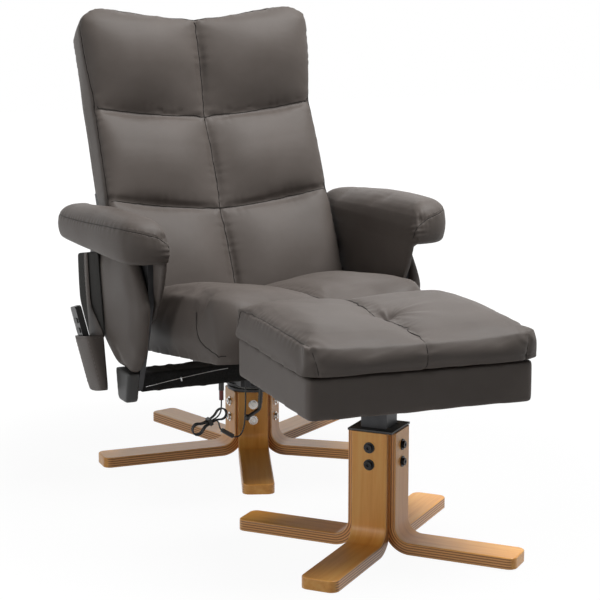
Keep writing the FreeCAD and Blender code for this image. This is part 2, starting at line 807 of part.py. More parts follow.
def seat_section(across, height_share, inset_share):
    height = size.seat_height * height_share
    front = size.seat_front - size.seat_roll * inset_share
    roll = size.seat_roll
    bulge = roll * (1 - math.sqrt(0.5))
    return section(size.seat_half * across, [
        (-front, 0), (size.seat_rear, 0), (size.seat_rear, height - roll / 4), (-front / 2, height, True),
        (-front + roll, height - roll / 8), (-front + bulge / 2, height - roll / 8 - bulge, True)])


seat_rows = zip(SEAT_ACROSS_SHARES, SEAT_HEIGHT_SHARES, SEAT_INSET_SHARES)
seat_form = both_halves([seat_section(*row) for row in seat_rows])
seat_board_half = size.seat_half - size.seat_board_margin
seat_board_front = size.seat_front - size.seat_roll
seat_board = box("2 * (Sizes.seat_half - Sizes.seat_board_margin)",
                 "Sizes.seat_front - Sizes.seat_roll + Sizes.seat_rear - Sizes.seat_board_margin",
                 "Sizes.seat_board_thick", seat_place.multiply(at(-seat_board_half, -seat_board_front, 0)))
keep(seat_board, "seat_board")
motor = Part.makeCylinder(size.motor_radius, size.motor_height)
room_radius = size.motor_radius + size.motor_pocket_gap
motor_room = Part.makeCylinder(room_radius, size.motor_height + size.motor_pocket_gap)
seat_motor_spots = [seat_place.multiply(at(x, -size.seat_motor_y, size.seat_board_thick))
                    for x in (-size.seat_motor_x, size.seat_motor_x)]
group("seat_motors", motor, seat_motor_spots)
doc.recompute()
seat_rooms = feature(Part.Compound([placed(motor_room, spot) for spot in seat_motor_spots]))
board_copy = feature(seat_board.Shape)
keep(cut(feature(seat_form, place=seat_place), board_copy, seat_rooms), "seat_cushion")

lip_inner = size.rail_width / 2 + size.clear_gap
lip_outer = lip_inner + size.shoe_lip
lip_low = rail_top - size.shoe_lip_drop
groove_top = -size.shoe_thick
shoe_outline = [(-lip_outer, lip_low), (-lip_inner, lip_low), (-lip_inner, groove_top),
                (lip_inner, groove_top), (lip_inner, lip_low), (lip_outer, lip_low), (lip_outer, 0),
                (-lip_outer, 0)]
shoe = pad_body(rounded(shoe_outline), "Sizes.shoe_length", "XZ_Plane")
shoe_spots = [(side * size.rail_offset, y) for side in (-1, 1) for y in (-size.shoe_front, size.shoe_rear)]
group("seat_shoes", shoe.Shape, [seat_place.multiply(at(*spot)) for spot in shoe_spots])

slot_half = size.rod_radius + size.slot_play
slot_floor = rod_seat.z - slot_half
fork_top = rod_seat.z + size.fork_rise
fork_left, fork_right = rod_seat.y - slot_half, rod_seat.y + slot_half
fork_first, fork_last = fork_left - size.fork_prong, fork_right + size.fork_prong
fork_outline = [(-size.fork_front, -size.fork_strip), (fork_last, -size.fork_strip), (fork_last, fork_top),
                (fork_right, fork_top), (fork_right, slot_floor), (fork_left, slot_floor),
                (fork_left, fork_top), (fork_first, fork_top), (fork_first, 0), (-size.fork_front, 0)]
fork = pad_body(rounded(fork_outline), "Sizes.fork_thick")
group("seat_slot_forks", fork.Shape, [seat_place.multiply(at(side * size.fork_offset)) for side in (-1, 1)])

# Back, built in its leaning frame: y is behind the board's front, z runs up the back

row_edges = (0, size.back_row_low, size.back_row_high, size.back_valley)


def back_row(row):
    """One row of the padded front, swelling between its seams and towards the middle of each panel."""
    sections = []
    for across, crown_share, top_share in zip(BACK_ACROSS_SHARES, BACK_CROWN_SHARES, BACK_TOP_SHARES):
        low, high = row_edges[row], row_edges[row + 1]
        if row == len(row_edges) - 2:
            high = size.back_valley + size.back_horn * top_share
        side_depth = min(crown_share, 0) * size.back_seam_depth
        depths = [size.back_seam_depth * BACK_SEAM_SHARES[edge] + side_depth for edge in (row, row + 1)]
        middle = sum(depths) / 2 + size.back_crown * max(crown_share, BACK_LEAST_CROWN_SHARE)
        sections.append(section(back_half * across, [
            (0, low), (-depths[0], low), (-middle, (low + high) / 2, True), (-depths[1], high), (0, high)]))
    return both_halves(sections)


back_form = back_row(0).fuse([back_row(row) for row in range(1, len(row_edges) - 1)]).removeSplitter()
back_motor_spots = [back_place.multiply(at(x, 0, z, X_AXIS, quarter_turn))
                    for x in (-size.back_motor_x, size.back_motor_x)
                    for z in (size.back_motor_low, size.back_motor_high)]
group("back_motors", motor, back_motor_spots)
back_rooms = feature(Part.Compound([placed(motor_room, spot) for spot in back_motor_spots]))
keep(cut(feature(back_form, place=back_place), back_rooms), "back_cushion")


def back_sheet(half, foot, trim, length, depth):
    """A flat panel with the back's outline: two horns and a valley between them."""
    horn_x = half * BACK_ACROSS_SHARES[3]
    horn = size.back_horn
    top = size.back_valley - trim
    outline = [(-half, foot), (half, foot), (half, top - horn), (horn_x, top + horn), (0, top),
               (-horn_x, top + horn), (-half, top - horn)]
    body = pad_body(rounded(outline, [0, 0, horn, horn, 6 * horn, horn, horn]), length, "XZ_Plane")
    body.Placement = back_place.multiply(at(0, depth))
    return body


back_board = back_sheet(back_board_half, 0, size.back_horn / 2, "Sizes.back_board_thick",
                        size.back_board_thick / 2)
keep(back_board, "back_board")
rear_cover = back_sheet(back_half - size.back_cover_inset, size.back_cover_foot, size.back_horn / 4,
                        "Sizes.back_cover_thick", size.back_board_thick + size.back_cover_thick / 2)
cover_face = size.back_cover_thick / 2
fillet(rear_cover, "Sizes.back_cover_round", lambda edge: near(centre_of(edge).y, cover_face))
keep(rear_cover, "back_rear_cover")

behind = size.back_board_thick + size.back_cover_thick
half_eye = pivot_eye / 2
bracket_outline = [(0, 2 * size.pivot_height), (behind, 2 * size.pivot_height),
                   (behind, size.pivot_height - pivot_eye),
                   (rod_local.y + half_eye, rod_local.z + half_eye),
                   (rod_local.y + half_eye, rod_local.z - half_eye),
                   (rod_local.y - half_eye, rod_local.z - half_eye), (0, size.pivot_height / 2)]
eye_round = half_eye * ROUND_SHARE
bracket = pad_body(rounded(bracket_outline, [0, 0, 0, eye_round, eye_round, eye_round, 0]),
                   "Sizes.back_bracket_thick")
pivot_hole = circles([(size.pivot_depth, size.pivot_height)], size.pivot_radius + size.fit_gap)
pocket(bracket, pivot_hole, "YZ_Plane")
pocket(bracket, circles([(rod_local.y, rod_local.z)], size.rod_radius), "YZ_Plane")
bracket_x = back_board_half + size.back_bracket_thick / 2
group("back_brackets", bracket.Shape, [back_place.multiply(at(x)) for x in (-bracket_x, bracket_x)])
rod_half = back_board_half + size.back_bracket_thick
keep(cylinder("Sizes.rod_radius", "2 * (%s + Sizes.back_bracket_thick)" % BACK_BOARD_HALF,
              at(-rod_half, rod.y, rod.z, Y_AXIS, quarter_turn)), "back_drive_rod")

# Control box behind the cross beam

control_outline = [(0, 0), (size.control_width, 0), (size.control_width, size.control_height),
                   (0, size.control_height)]
control = pad_body(rounded(control_outline, size.control_round), "Sizes.control_depth", "XZ_Plane")
control_y = beam_rear + size.cover_thick + size.control_depth / 2
control.Placement = at(size.control_offset, control_y, beam_bottom)
keep(control, "control_box")

# Recline lever in its bracket on the front of the beam

EAR_SPAN = "2 * (Sizes.lever_hub_length / 2 + Sizes.clear_gap + Sizes.lever_ear_thick)"
lever_y = sleeve_front - size.lever_reach
hub_half = size.lever_hub_length / 2
ear_near = hub_half + size.clear_gap
ear_far = ear_near + size.lever_ear_thick
ear_low = size.lever_pivot_z - size.lever_hub_radius


def lever_bracket():
    """A folded bracket with two ears and the pin between them."""
    back = box(EAR_SPAN, "Sizes.lever_base_thick", "2 * Sizes.lever_hub_radius",
               at(size.lever_x - ear_far, sleeve_front - size.lever_base_thick, ear_low))
    ears = []
    for start in (ear_near, -ear_far):
        left = size.lever_x + start
        ears.append(box("Sizes.lever_ear_thick", "Sizes.lever_reach", "2 * Sizes.lever_hub_radius",
                        at(left, lever_y, ear_low)))
        ears.append(cylinder("Sizes.lever_hub_radius", "Sizes.lever_ear_thick",
                             at(left, lever_y, size.lever_pivot_z, Y_AXIS, quarter_turn)))
    pin = cylinder("Sizes.lever_pin_radius", EAR_SPAN,
                   at(size.lever_x - ear_far, lever_y, size.lever_pivot_z, Y_AXIS, quarter_turn))
    return fuse(back, pin, *ears)


def bent_rod(start, knee, toe, bend, radius):
    """Two straight rods and the turned elbow between them."""
    to_start = (start - knee).normalize()
    to_toe = (toe - knee).normalize()
    half = to_start.getAngle(to_toe) / 2
    reach = bend / math.tan(half)
    first, last = knee + to_start * reach, knee + to_toe * reach
    centre = knee + (to_start + to_toe).normalize() * (bend / math.sin(half))
    disc = Part.Face(Part.Wire([Part.Circle(first, to_start, radius).toShape()]))
    elbow = disc.revolve(centre, (first - centre).cross(last - centre), math.degrees(math.pi - 2 * half))
    upper = Part.makeCylinder(radius, (start - first).Length, first, to_start)
    lower = Part.makeCylinder(radius, (toe - last).Length, last, to_toe)
    return [upper, elbow, lower]


def lever():
    """The hanging lever: a hub on the pin, a ribbed grip and a toe bent to the side, with a bulb."""
    start = V(size.lever_x, lever_y, size.lever_pivot_z - size.lever_hub_radius / 2)
    knee = V(size.lever_x - size.lever_side, lever_y, size.lever_pivot_z - size.lever_fall)
    toe = knee + V(-size.lever_toe_side, 0, -size.lever_toe_fall)
    rods = bent_rod(start, knee, toe, size.lever_bend, size.lever_rod_radius)
    hub_start = V(size.lever_x - hub_half, lever_y, size.lever_pivot_z)
    hub = Part.makeCylinder(size.lever_hub_radius, size.lever_hub_length, hub_start, X_AXIS)
    bore = Part.makeCylinder(size.lever_pin_radius + size.fit_gap, size.lever_hub_length, hub_start, X_AXIS)
    bulb = Part.makeSphere(size.lever_bulb_radius, toe, toe - knee)
    way = (knee - start).normalize()
    grip = size.lever_bend + size.lever_rib_count * size.lever_rib_step
    first = knee - way * grip
    spots = [first + way * (i * size.lever_rib_step) for i in range(int(size.lever_rib_count))]
    ribs = [Part.makeCylinder(size.lever_rib_radius, size.lever_rib_length, spot, way) for spot in spots]
    return hub.fuse(rods + [bulb] + ribs).cut(bore)


keep(lever_bracket(), "lever_bracket")
feature(lever(), "recline_lever")

# Low-voltage lead: gland, connector, free stretches, tied hank and inline joint

lead_y = -size.lead_plane
return_y = -size.lead_rear_plane
gland_y = -size.lead_front_plane
gland_low = sleeve_bottom - size.gland_length
grommet_low = sleeve_bottom - size.grommet_length
plug_low = gland_low - size.plug_length
gland = Part.makeCylinder(size.gland_radius, size.gland_length, V(size.gland_x, gland_y, gland_low))
grommet_end = V(size.grommet_x, return_y, grommet_low)
grommet = Part.makeCylinder(size.grommet_radius, size.grommet_length, grommet_end)
feature(Part.Compound([gland, grommet]), "lead_glands")
plug = cylinder("Sizes.plug_radius", "Sizes.plug_length", at(size.gland_x, gland_y, plug_low))
keep(plug, "lead_connector")


def pipe(path, radius):
    """A round tube along a wire."""
    first = path.OrderedEdges[0]
    start, direction = first.valueAt(first.FirstParameter), first.tangentAt(first.FirstParameter)
    ring = Part.Wire([Part.Circle(start, direction, radius).toShape()])
    return path.makePipeShell([ring], True, False)


def biarc(p, t, q, u):
    """Two tangent arcs in space from p heading along t to q heading along u."""
    v = q - p
    cosine = t.dot(u)
    mean = v.dot(t + u)
    reach = (-mean + math.sqrt(mean ** 2 + 2 * (1 - cosine) * v.dot(v))) / (2 * (1 - cosine))
    joint = (p + t * reach + q - u * reach) / 2
    return [arc_from(p, t, joint), arc_to(joint, q, u)]


def arc_from(p, t, q):
    """The arc from p, leaving along t, to q."""
    chord = q - p
    normal = chord - t * chord.dot(t)
    radius = chord.dot(chord) / (2 * normal.Length)
    centre = p + normal.normalize() * radius
    outward = ((p + q) / 2 - centre).normalize()
    return Part.Arc(p, centre + outward * radius, q).toShape()


def arc_to(p, q, u):
    """The arc from p to q, arriving along u."""
    back = arc_from(q, u * -1, p)
    middle = back.valueAt((back.FirstParameter + back.LastParameter) / 2)
    return Part.Arc(p, middle, q).toShape()


hank_place = at(size.hank_x, lead_y, size.hank_z, Y_AXIS, -size.hank_tilt_angle)


def hank_stops():
    """Points and headings round the loops: waist above, left end, waist below, right end, by layers."""
    stops = []
    total = int(size.hank_loop_count) * 4 + 3
    for quarter in range(total):
        layer = (quarter // 4 - size.hank_loop_count / 2) * size.hank_step
        kind = quarter % 4
        wide = size.hank_half - quarter * size.lead_radius / 4
        x, z = [(0, size.hank_waist), (-wide, 0), (0, -size.hank_waist), (wide, 0)][kind]
        heading = [(-1, 0), (0, -1), (1, 0), (0, 1)][kind]
        point = hank_place.multVec(V(x, layer, z))
        stops.append((point, hank_place.Rotation.multVec(V(heading[0], 0, heading[1]))))
    return stops


def straight_ends(stops, length):
    """The same stops with a straight stretch at each end."""
    (p, t), (q, u) = stops[0], stops[-1]
    return [(p, t), (p + t * length, t)] + stops[1:-1] + [(q - u * length, u), (q, u)]


def lead_path(stops):
    """One wire through points with headings: straight where both lie in line, else two tangent arcs."""
    edges = []
    for (p, t), (q, u) in zip(stops, stops[1:]):
        if (q - p).getAngle(t) + t.getAngle(u) < STRAIGHT_ANGLE:
            edges.append(Part.LineSegment(p, q).toShape())
        else:
            edges += biarc(p, t, q, u)
    return Part.Wire(edges)


def least_gap(path, radius):
    """Smallest gap between parts of a tube that are not next to each other along it."""
    spots = []
    travelled = 0
    for edge in path.OrderedEdges:
        points = edge.discretize(Distance=radius)
        step = edge.Length / len(points)
        spots += [(travelled + i * step, point) for i, point in enumerate(points)]
        travelled += edge.Length
    apart = 4 * math.pi * radius
    gaps = [(a - b).Length for i, (s, a) in enumerate(spots) for r, b in spots[i:] if r - s > apart]
    return min(gaps) - 2 * radius


def lead(label, stops):
    """A round lead through its stops, with its measures printed."""
    path = lead_path(straight_ends(stops, 2 * size.lead_radius))
    tube = pipe(path, size.lead_radius)
    bends = [edge.Curve.Radius for edge in path.Edges if hasattr(edge.Curve, "Radius")]
    share = tube.Volume / (math.pi * size.lead_radius ** 2 * path.Length)
    print("%s: length %.0f mm, volume share %.4f, least bend radius %.1f mm, least gap to itself %.2f mm"
          % (label, path.Length, share, min(bends), least_gap(path, size.lead_radius)))
    return feature(tube, label)


fall = math.radians(size.joint_fall_angle)
lean = math.radians(size.return_lean_angle)
joint_way = V(math.cos(fall), 0, -math.sin(fall))
joint_start = V(size.joint_x, return_y, size.joint_z)
joint_end = joint_start + joint_way * size.joint_length
turn_up = V(size.return_x, return_y, size.return_z)
turn_way = V(math.sin(lean), 0, math.cos(lean))
plug_end = V(size.gland_x, gland_y, plug_low)
lead("lead_main", [(plug_end, Z_AXIS * -1)] + hank_stops() + [(joint_start, joint_way)])
lead("lead_return", [(joint_end, joint_way), (turn_up, turn_way), (grommet_end, Z_AXIS)])
feature(Part.makeCylinder(size.joint_radius, size.joint_length, joint_start, joint_way), "inline_connector")

tie_y = size.hank_loop_count * size.hank_step / 2 + size.lead_radius + size.clear_gap
tie_z = size.hank_waist + size.lead_radius + size.clear_gap


def tie_block(wall):
    """A block round the waist of the hank, with the given wall."""
    half_x, half_y, half_z = size.tie_half_length, tie_y + wall, tie_z + wall
    return Part.makeBox(2 * half_x, 2 * half_y, 2 * half_z, V(-half_x, -half_y, -half_z))


feature(tie_block(size.tie_wall).cut(tie_block(0)), "hank_tie", hank_place)

# Remote pouch, in its own leaning frame: x is outwards from the arm where negative, z up to the pad

pouch_x = arm_outer + size.fit_gap + size.arm_panel_thick + size.pouch_gap
pouch_place = at(-pouch_x, size.pouch_y, size.arm_top - size.pouch_drop, X_AXIS, -size.pouch_lean_angle)
mouth_z = size.pouch_pocket - size.pouch_length
wall = size.pouch_wall
flap = box("Sizes.pouch_wall", "Sizes.pouch_width - 2 * Sizes.pouch_wall", "Sizes.pouch_length",
           pouch_place.multiply(at(-wall, wall - size.pouch_width / 2, -size.pouch_length)))
wedge_outline = [(0, -size.pouch_length), (-size.pouch_foot, -size.pouch_length),
                 (-size.pouch_mouth, mouth_z), (0, mouth_z)]
wedge_slope = (size.pouch_mouth - size.pouch_foot) / size.pouch_pocket
room_high = mouth_z + size.overrun
room_low = wall - size.pouch_length
room_outline = [(-wall, room_low), (wall - size.pouch_foot - wedge_slope * wall, room_low),
                (wall - size.pouch_mouth - wedge_slope * size.overrun, room_high), (-wall, room_high)]
wedge = pad_body(rounded(wedge_outline), "Sizes.pouch_width", "XZ_Plane")
wedge_room = pad_body(rounded(room_outline), "Sizes.pouch_width - 2 * Sizes.pouch_wall", "XZ_Plane")
wedge.Placement = pouch_place
wedge_room.Placement = pouch_place
keep(fuse(flap, cut(wedge, wedge_room)), "remote_pouch")

# Handset, leaning on the outer wall of the pouch and wedged at its foot

wedge_turn = math.atan(wedge_slope)
handset_deep = size.handset_front_thick + size.handset_rear_thick
foot_room = size.pouch_foot - 2 * wall - size.clear_gap - size.clear_gap / math.cos(wedge_turn)
handset_raise = handset_deep * math.sin(wedge_turn)
handset_raise += (handset_deep * math.cos(wedge_turn) - foot_room) / wedge_slope
handset_foot = at(-wall - size.clear_gap, size.handset_shift, handset_raise - size.pouch_length, Y_AXIS,
                  -math.degrees(wedge_turn))
handset_place = pouch_place.multiply(handset_foot)


def handset_outline(half_width, low, high, corner):
    return rounded([(-half_width, low), (half_width, low), (half_width, high), (-half_width, high)], corner)


def handset_half(thick, middle, label):
    """One moulded half of the handset, with rounded corners."""
    outline = handset_outline(size.handset_width / 2, 0, size.handset_length, size.handset_round)
    body = pad_body(outline, thick)
    body.Placement = handset_place.multiply(at(middle))
    return keep(body, label)


key_tops = [size.handset_length - size.key_top - i * size.key_step for i in range(int(size.key_count))]
front_middle = -size.handset_rear_thick - size.handset_front_thick / 2
front_half = handset_half("Sizes.handset_front_thick", front_middle, "handset_front")
handset_half("Sizes.handset_rear_thick", -size.handset_rear_thick / 2, "handset_rear")
for top, label in zip(key_tops, ("power_key", "mode_key")):
    low = top - size.key_height
    slot = handset_outline(size.key_width / 2 + size.clear_gap, low - size.clear_gap, top + size.clear_gap,
                           size.key_proud)
    pocket(front_half, slot, "YZ_Plane")
    key = pad_body(handset_outline(size.key_width / 2, low, top, size.key_proud), "Sizes.key_depth")
    key.Placement = handset_place.multiply(at(size.key_depth / 2 - handset_deep - size.key_proud))
    keep(key, label)

# Footstool, in its own turned frame

stool_place = at(size.stool_x, size.stool_y, 0, Z_AXIS, size.stool_turn_angle)
stool_angles = leg_angles("stool_leg")
for number, angle in enumerate(stool_angles, start=1):
    bent_leg("stool_leg", "stool_leg_%d" % number, stool_place.multiply(at(axis=Z_AXIS, angle=angle)))
base_fasteners("stool_leg", "stool", stool_angles, stool_place)

post_frame = stool_place.multiply(at(axis=Z_AXIS, angle=size.stool_leg_turn_angle))
post_half = size.post_width / 2
hollow_half = post_half - size.post_wall
hollow_top = size.post_foot + size.stool_leg_bolt_low - 2 * size.bolt_bite
post_top = size.store_bottom - size.post_plate_thick
tube_outer = box("Sizes.post_width", "Sizes.post_width",
                 "Sizes.store_bottom - Sizes.post_plate_thick - Sizes.post_foot",
                 post_frame.multiply(at(-post_half, -post_half, size.post_foot)))
tube_inner = box("Sizes.post_width - 2 * Sizes.post_wall", "Sizes.post_width - 2 * Sizes.post_wall",
                 "Sizes.store_bottom",
                 post_frame.multiply(at(-hollow_half, -hollow_half, hollow_top - size.store_bottom)))
plate_half = size.post_plate / 2
plate = box("Sizes.post_plate", "Sizes.post_plate", "Sizes.post_plate_thick",
            stool_place.multiply(at(-plate_half, -plate_half, post_top)))
post_bores = bolt_bores("stool_leg", stool_angles, stool_place)
keep(cut(fuse(cut(tube_outer, tube_inner), plate), post_bores), "stool_post")
CAP_HOLE = "Sizes.post_width + 2 * Sizes.clear_gap"
stool_cap_half = size.stool_cap_width / 2
hole_half = post_half + size.clear_gap
stool_cap = box("Sizes.stool_cap_width", "Sizes.stool_cap_width", "Sizes.stool_cap_thick",
                post_frame.multiply(at(-stool_cap_half, -stool_cap_half, size.stool_leg_top)))
stool_cap_hole = box(CAP_HOLE, CAP_HOLE, "Sizes.stool_cap_thick + 2 * Sizes.overrun",
                     post_frame.multiply(at(-hole_half, -hole_half, size.stool_leg_top - size.overrun)))
keep(cut(stool_cap, stool_cap_hole), "stool_cap")


def plan(half_width, front, rear, radius=0):
    """A rectangle seen from above, with one radius on its corners."""
    corners = [(-half_width, front), (half_width, front), (half_width, rear), (-half_width, rear)]
    return rounded(corners, radius)


store_w, store_d = size.store_width / 2, size.store_depth / 2
store_top = size.store_bottom + size.store_height
store = pad_body(plan(store_w, -store_d, store_d, size.store_round), "Sizes.store_height", "XY_Plane")
in_w, in_d = store_w - size.store_wall, store_d - size.store_wall
pocket(store, plan(in_w, -in_d, in_d), "XY_Plane")
store.Placement = stool_place.multiply(at(0, 0, size.store_bottom + size.store_height / 2))
keep(store, "stool_box")
store_floor = box("Sizes.store_width - 2 * Sizes.store_wall", "Sizes.store_depth - 2 * Sizes.store_wall",
                  "Sizes.store_floor_thick", stool_place.multiply(at(-in_w, -in_d, size.store_bottom)))
keep(store_floor, "stool_box_floor")

# Lid: a board let into the underside of its cushion, hinged along its rear edge

lid_bottom = store_top + size.lid_gap
lid_rear = store_d + size.lid_board_rear
board_w, board_front = store_w - size.lid_board_inset, size.lid_board_inset - store_d
lid_plan = plan(board_w, board_front, lid_rear, size.store_round)
lid_board = pad_body(lid_plan, "Sizes.lid_board_thick", "XY_Plane")
lid_board.Placement = stool_place.multiply(at(0, 0, lid_bottom + size.lid_board_thick / 2))
keep(lid_board, "stool_lid_board")


def lid_section(across, crown_share, inset_share):
    """One cross-section of the lid's cushion: rounded in front, flat behind where it is hinged."""
    inset = size.lid_side * inset_share
    front = inset - store_d - size.lid_front_over
    rear = lid_rear - size.lid_rear_gap - inset * LID_REAR_INSET_SHARE
    side = size.lid_side
    foot = front + side / 8
    return section((store_w + size.lid_side_over) * across, [
        (foot, 0), (rear, 0), (rear, side), ((rear + foot) / 2, side + size.lid_crown * crown_share, True),
        (foot, side), (front - side / 16, side / 2, True)])


lid_rows = zip(LID_ACROSS_SHARES, LID_CROWN_SHARES, LID_INSET_SHARES)
lid_form = both_halves([lid_section(*row) for row in lid_rows])
tuft_z = size.lid_side + size.lid_crown + size.tuft_radius - size.tuft_depth
tuft_y = -(size.lid_front_over + size.lid_rear_gap) / 2
tuft = Part.makeSphere(size.tuft_radius, V(0, tuft_y, tuft_z))
lid_cushion = feature(lid_form.cut(tuft), place=stool_place.multiply(at(0, 0, lid_bottom)))
doc.recompute()
keep(cut(lid_cushion, feature(lid_board.Shape)), "stool_lid_cushion")

hinge_y = lid_rear + size.hinge_knuckle_radius + size.clear_gap
hinge_z = store_top + size.lid_gap / 2


def knuckle(start, end, bore):
    tube = Part.makeCylinder(size.hinge_knuckle_radius, end - start, V(start, hinge_y, hinge_z), X_AXIS)
    return tube.cut(Part.makeCylinder(bore, end - start, V(start, hinge_y, hinge_z), X_AXIS))


def hinge_pin(half, radius):
    return Part.makeCylinder(radius, 2 * half, V(-half, hinge_y, hinge_z), X_AXIS)


def fixed_leaf():
    """The leaf on the box with its two outer knuckles."""
    half, thick, drop = size.hinge_half, size.hinge_leaf_thick, size.hinge_leaf_drop
    leaf = Part.makeBox(2 * half, thick, drop, V(-half, store_d, hinge_z - drop))
    gap = size.hinge_middle_half + size.clear_gap
    recess_depth = 2 * size.hinge_knuckle_radius
    recess = Part.makeBox(2 * gap, thick, recess_depth, V(-gap, store_d, hinge_z - recess_depth))
    ends = [knuckle(-half, -gap, size.hinge_pin_radius), knuckle(gap, half, size.hinge_pin_radius)]
    return leaf.cut(recess).fuse(ends).cut(hinge_pin(half, size.hinge_pin_radius))


def moving_leaf():
    """The leaf on the lid's edge with the middle knuckle."""
    wide = size.hinge_middle_half
    bore = size.hinge_pin_radius + size.fit_gap
    height = lid_bottom + size.lid_board_thick - hinge_z
    leaf = Part.makeBox(2 * wide, size.hinge_leaf_thick, height, V(-wide, lid_rear, hinge_z))
    return leaf.fuse(knuckle(-wide, wide, bore)).cut(hinge_pin(wide, bore))


hinge_spots = [stool_place.multiply(at(side * size.hinge_offset)) for side in (-1, 1)]
fixed_shapes = (fixed_leaf(), hinge_pin(size.hinge_half, size.hinge_pin_radius))
fixed_copies = [placed(shape, spot) for spot in hinge_spots for shape in fixed_shapes]
feature(Part.Compound(fixed_copies), "stool_hinge_leaves")
group("lid_hinge_leaves", moving_leaf(), hinge_spots)

# Check and write

doc.recompute()
for piece in doc.Objects:
    if "Invalid" in piece.State or "Error" in piece.State:
        raise ValueError("failed object: %s %s" % (piece.Name, piece.Label))
for label, piece in nodes.items():
    if piece.Shape.isNull() or not piece.Shape.isValid() or not piece.Shape.Solids:
        raise ValueError("bad shape: " + label)
os.makedirs("parts", exist_ok=True)
for label, piece in nodes.items():
    piece.Shape.exportStep("parts/%s.step" % label)
print("%d nodes written" % len(nodes))
print("pivot", pivot, "rod", rod, "hinge", stool_place.multVec(V(0, hinge_y, hinge_z)))
print("handset lift", handset_place.Rotation.multVec(Z_AXIS))
print("key press", handset_place.Rotation.multVec(X_AXIS))
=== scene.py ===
"""Looks of the massage recliner and its footstool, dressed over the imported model.

Metres, +Z up, the chair faces -Y."""

import json
import math

import bmesh
import bpy
import numpy as np
from mathutils import Matrix, Vector, noise
from mathutils.bvhtree import BVHTree
from mathutils.kdtree import KDTree


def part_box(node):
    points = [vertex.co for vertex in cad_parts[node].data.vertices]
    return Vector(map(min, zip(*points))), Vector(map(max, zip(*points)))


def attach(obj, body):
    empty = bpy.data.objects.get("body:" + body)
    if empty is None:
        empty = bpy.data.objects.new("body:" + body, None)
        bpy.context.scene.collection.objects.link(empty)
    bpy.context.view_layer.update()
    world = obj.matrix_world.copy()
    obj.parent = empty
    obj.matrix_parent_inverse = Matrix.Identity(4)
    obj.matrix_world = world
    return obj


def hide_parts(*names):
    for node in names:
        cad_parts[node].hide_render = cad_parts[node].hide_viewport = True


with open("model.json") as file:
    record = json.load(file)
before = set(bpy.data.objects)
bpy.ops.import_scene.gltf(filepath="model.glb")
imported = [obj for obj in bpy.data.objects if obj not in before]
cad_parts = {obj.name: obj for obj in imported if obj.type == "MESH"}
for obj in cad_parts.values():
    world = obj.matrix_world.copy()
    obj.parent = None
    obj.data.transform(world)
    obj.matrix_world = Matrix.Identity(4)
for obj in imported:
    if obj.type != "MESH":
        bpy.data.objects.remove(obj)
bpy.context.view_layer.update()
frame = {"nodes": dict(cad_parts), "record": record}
nodes = frame["nodes"]
scene = bpy.context.scene
scene.view_settings.view_transform = "Standard"


def turned_frame(place, axis, degrees):
    """A frame at a place, turned about one axis."""
    return Matrix.Translation(place) @ Matrix.Rotation(math.radians(degrees), 4, axis)


def add_object(name, data):
    made = bpy.data.objects.new(name, data)
    scene.collection.objects.link(made)
    return made


# Frames of the leaning back, the tilted seat, the footstool and the pouch, as the source sets them
STOOL_PLACE = (-0.060, -0.722, 0)
STOOL_TURN = -5.3
WORLD = Matrix.Identity(4)
BACK = turned_frame((0, 0.1096, 0.2827), "X", -23)
SEAT = turned_frame((0, 0, 0.260), "X", -7)
STOOL = turned_frame(STOOL_PLACE, "Z", STOOL_TURN)
POUCH = turned_frame((-0.3493, 0.085, 0.473), "X", -10)

# Bent legs: how far out and up the bend's centre lies, the plywood's thickness and its stripes
CHAIR_BEND = 0.084
STOOL_BEND = 0.078
BEND_HEIGHT = 0.055
PLY = 0.022
PLY_STRIPES = 4.5

# Camera at the photograph's viewing point
camera_data = bpy.data.cameras.new("camera")
camera_data.sensor_width = 36
camera_data.lens = 106.78
camera = add_object("camera", camera_data)
camera.location = (-1.6005, -3.5948, 1.104)
camera.rotation_euler = Vector((0.4240, 0.8858, -0.1886)).to_track_quat("-Z", "Y").to_euler()
scene.camera = camera


# Materials

def add(tree, kind, inputs=None, **settings):
    """A shader node, its inputs linked from sockets or set to values."""
    made = tree.nodes.new("ShaderNode" + kind)
    for key, value in settings.items():
        setattr(made, key, value)
    for key, value in (inputs or {}).items():
        if isinstance(value, bpy.types.NodeSocket):
            tree.links.new(value, made.inputs[key])
        else:
            made.inputs[key].default_value = value
    return made


def rgb(red, green, blue):
    return (red, green, blue, 1)


def grey(tone):
    return rgb(tone, tone, tone)


def ramp(tree, value, stops):
    """A colour ramp over a value, from pairs of place and colour."""
    made = add(tree, "ValToRGB", {"Fac": value})
    bands = made.color_ramp.elements
    for place, colour in stops[2:]:
        bands.new(place)
    for band, (place, colour) in zip(bands, sorted(stops)):
        band.position = place
        band.color = colour
    return made.outputs["Color"]


def spread(tree, value, low, high):
    """A value from 0 to 1 mapped to a narrower range."""
    return add(tree, "MapRange", {"Value": value, "To Min": low, "To Max": high}).outputs["Result"]


def between(tree, value, low, high):
    """A value mapped to 0 at a low mark and 1 at a high one."""
    return add(tree, "MapRange", {"Value": value, "From Min": low, "From Max": high}).outputs["Result"]


def maths(tree, operation, first, second=0.0):
    return add(tree, "Math", {0: first, 1: second}, operation=operation).outputs["Value"]


def scaled(tree, places, scale):
    return add(tree, "Mapping", {"Vector": places, "Scale": scale}).outputs["Vector"]


def local_axes(tree, places, place, turn):
    """Places or directions taken into a frame, as separate X, Y and Z."""
    inputs = {"Vector": places, "Location": place, "Rotation": turn}
    inside = add(tree, "Mapping", inputs, vector_type="TEXTURE").outputs["Vector"]
    return add(tree, "SeparateXYZ", {"Vector": inside}).outputs


def blend(tree, share, first, second):
    return add(tree, "Mix", {"Factor": share, 6: first, 7: second}, data_type="RGBA").outputs[2]


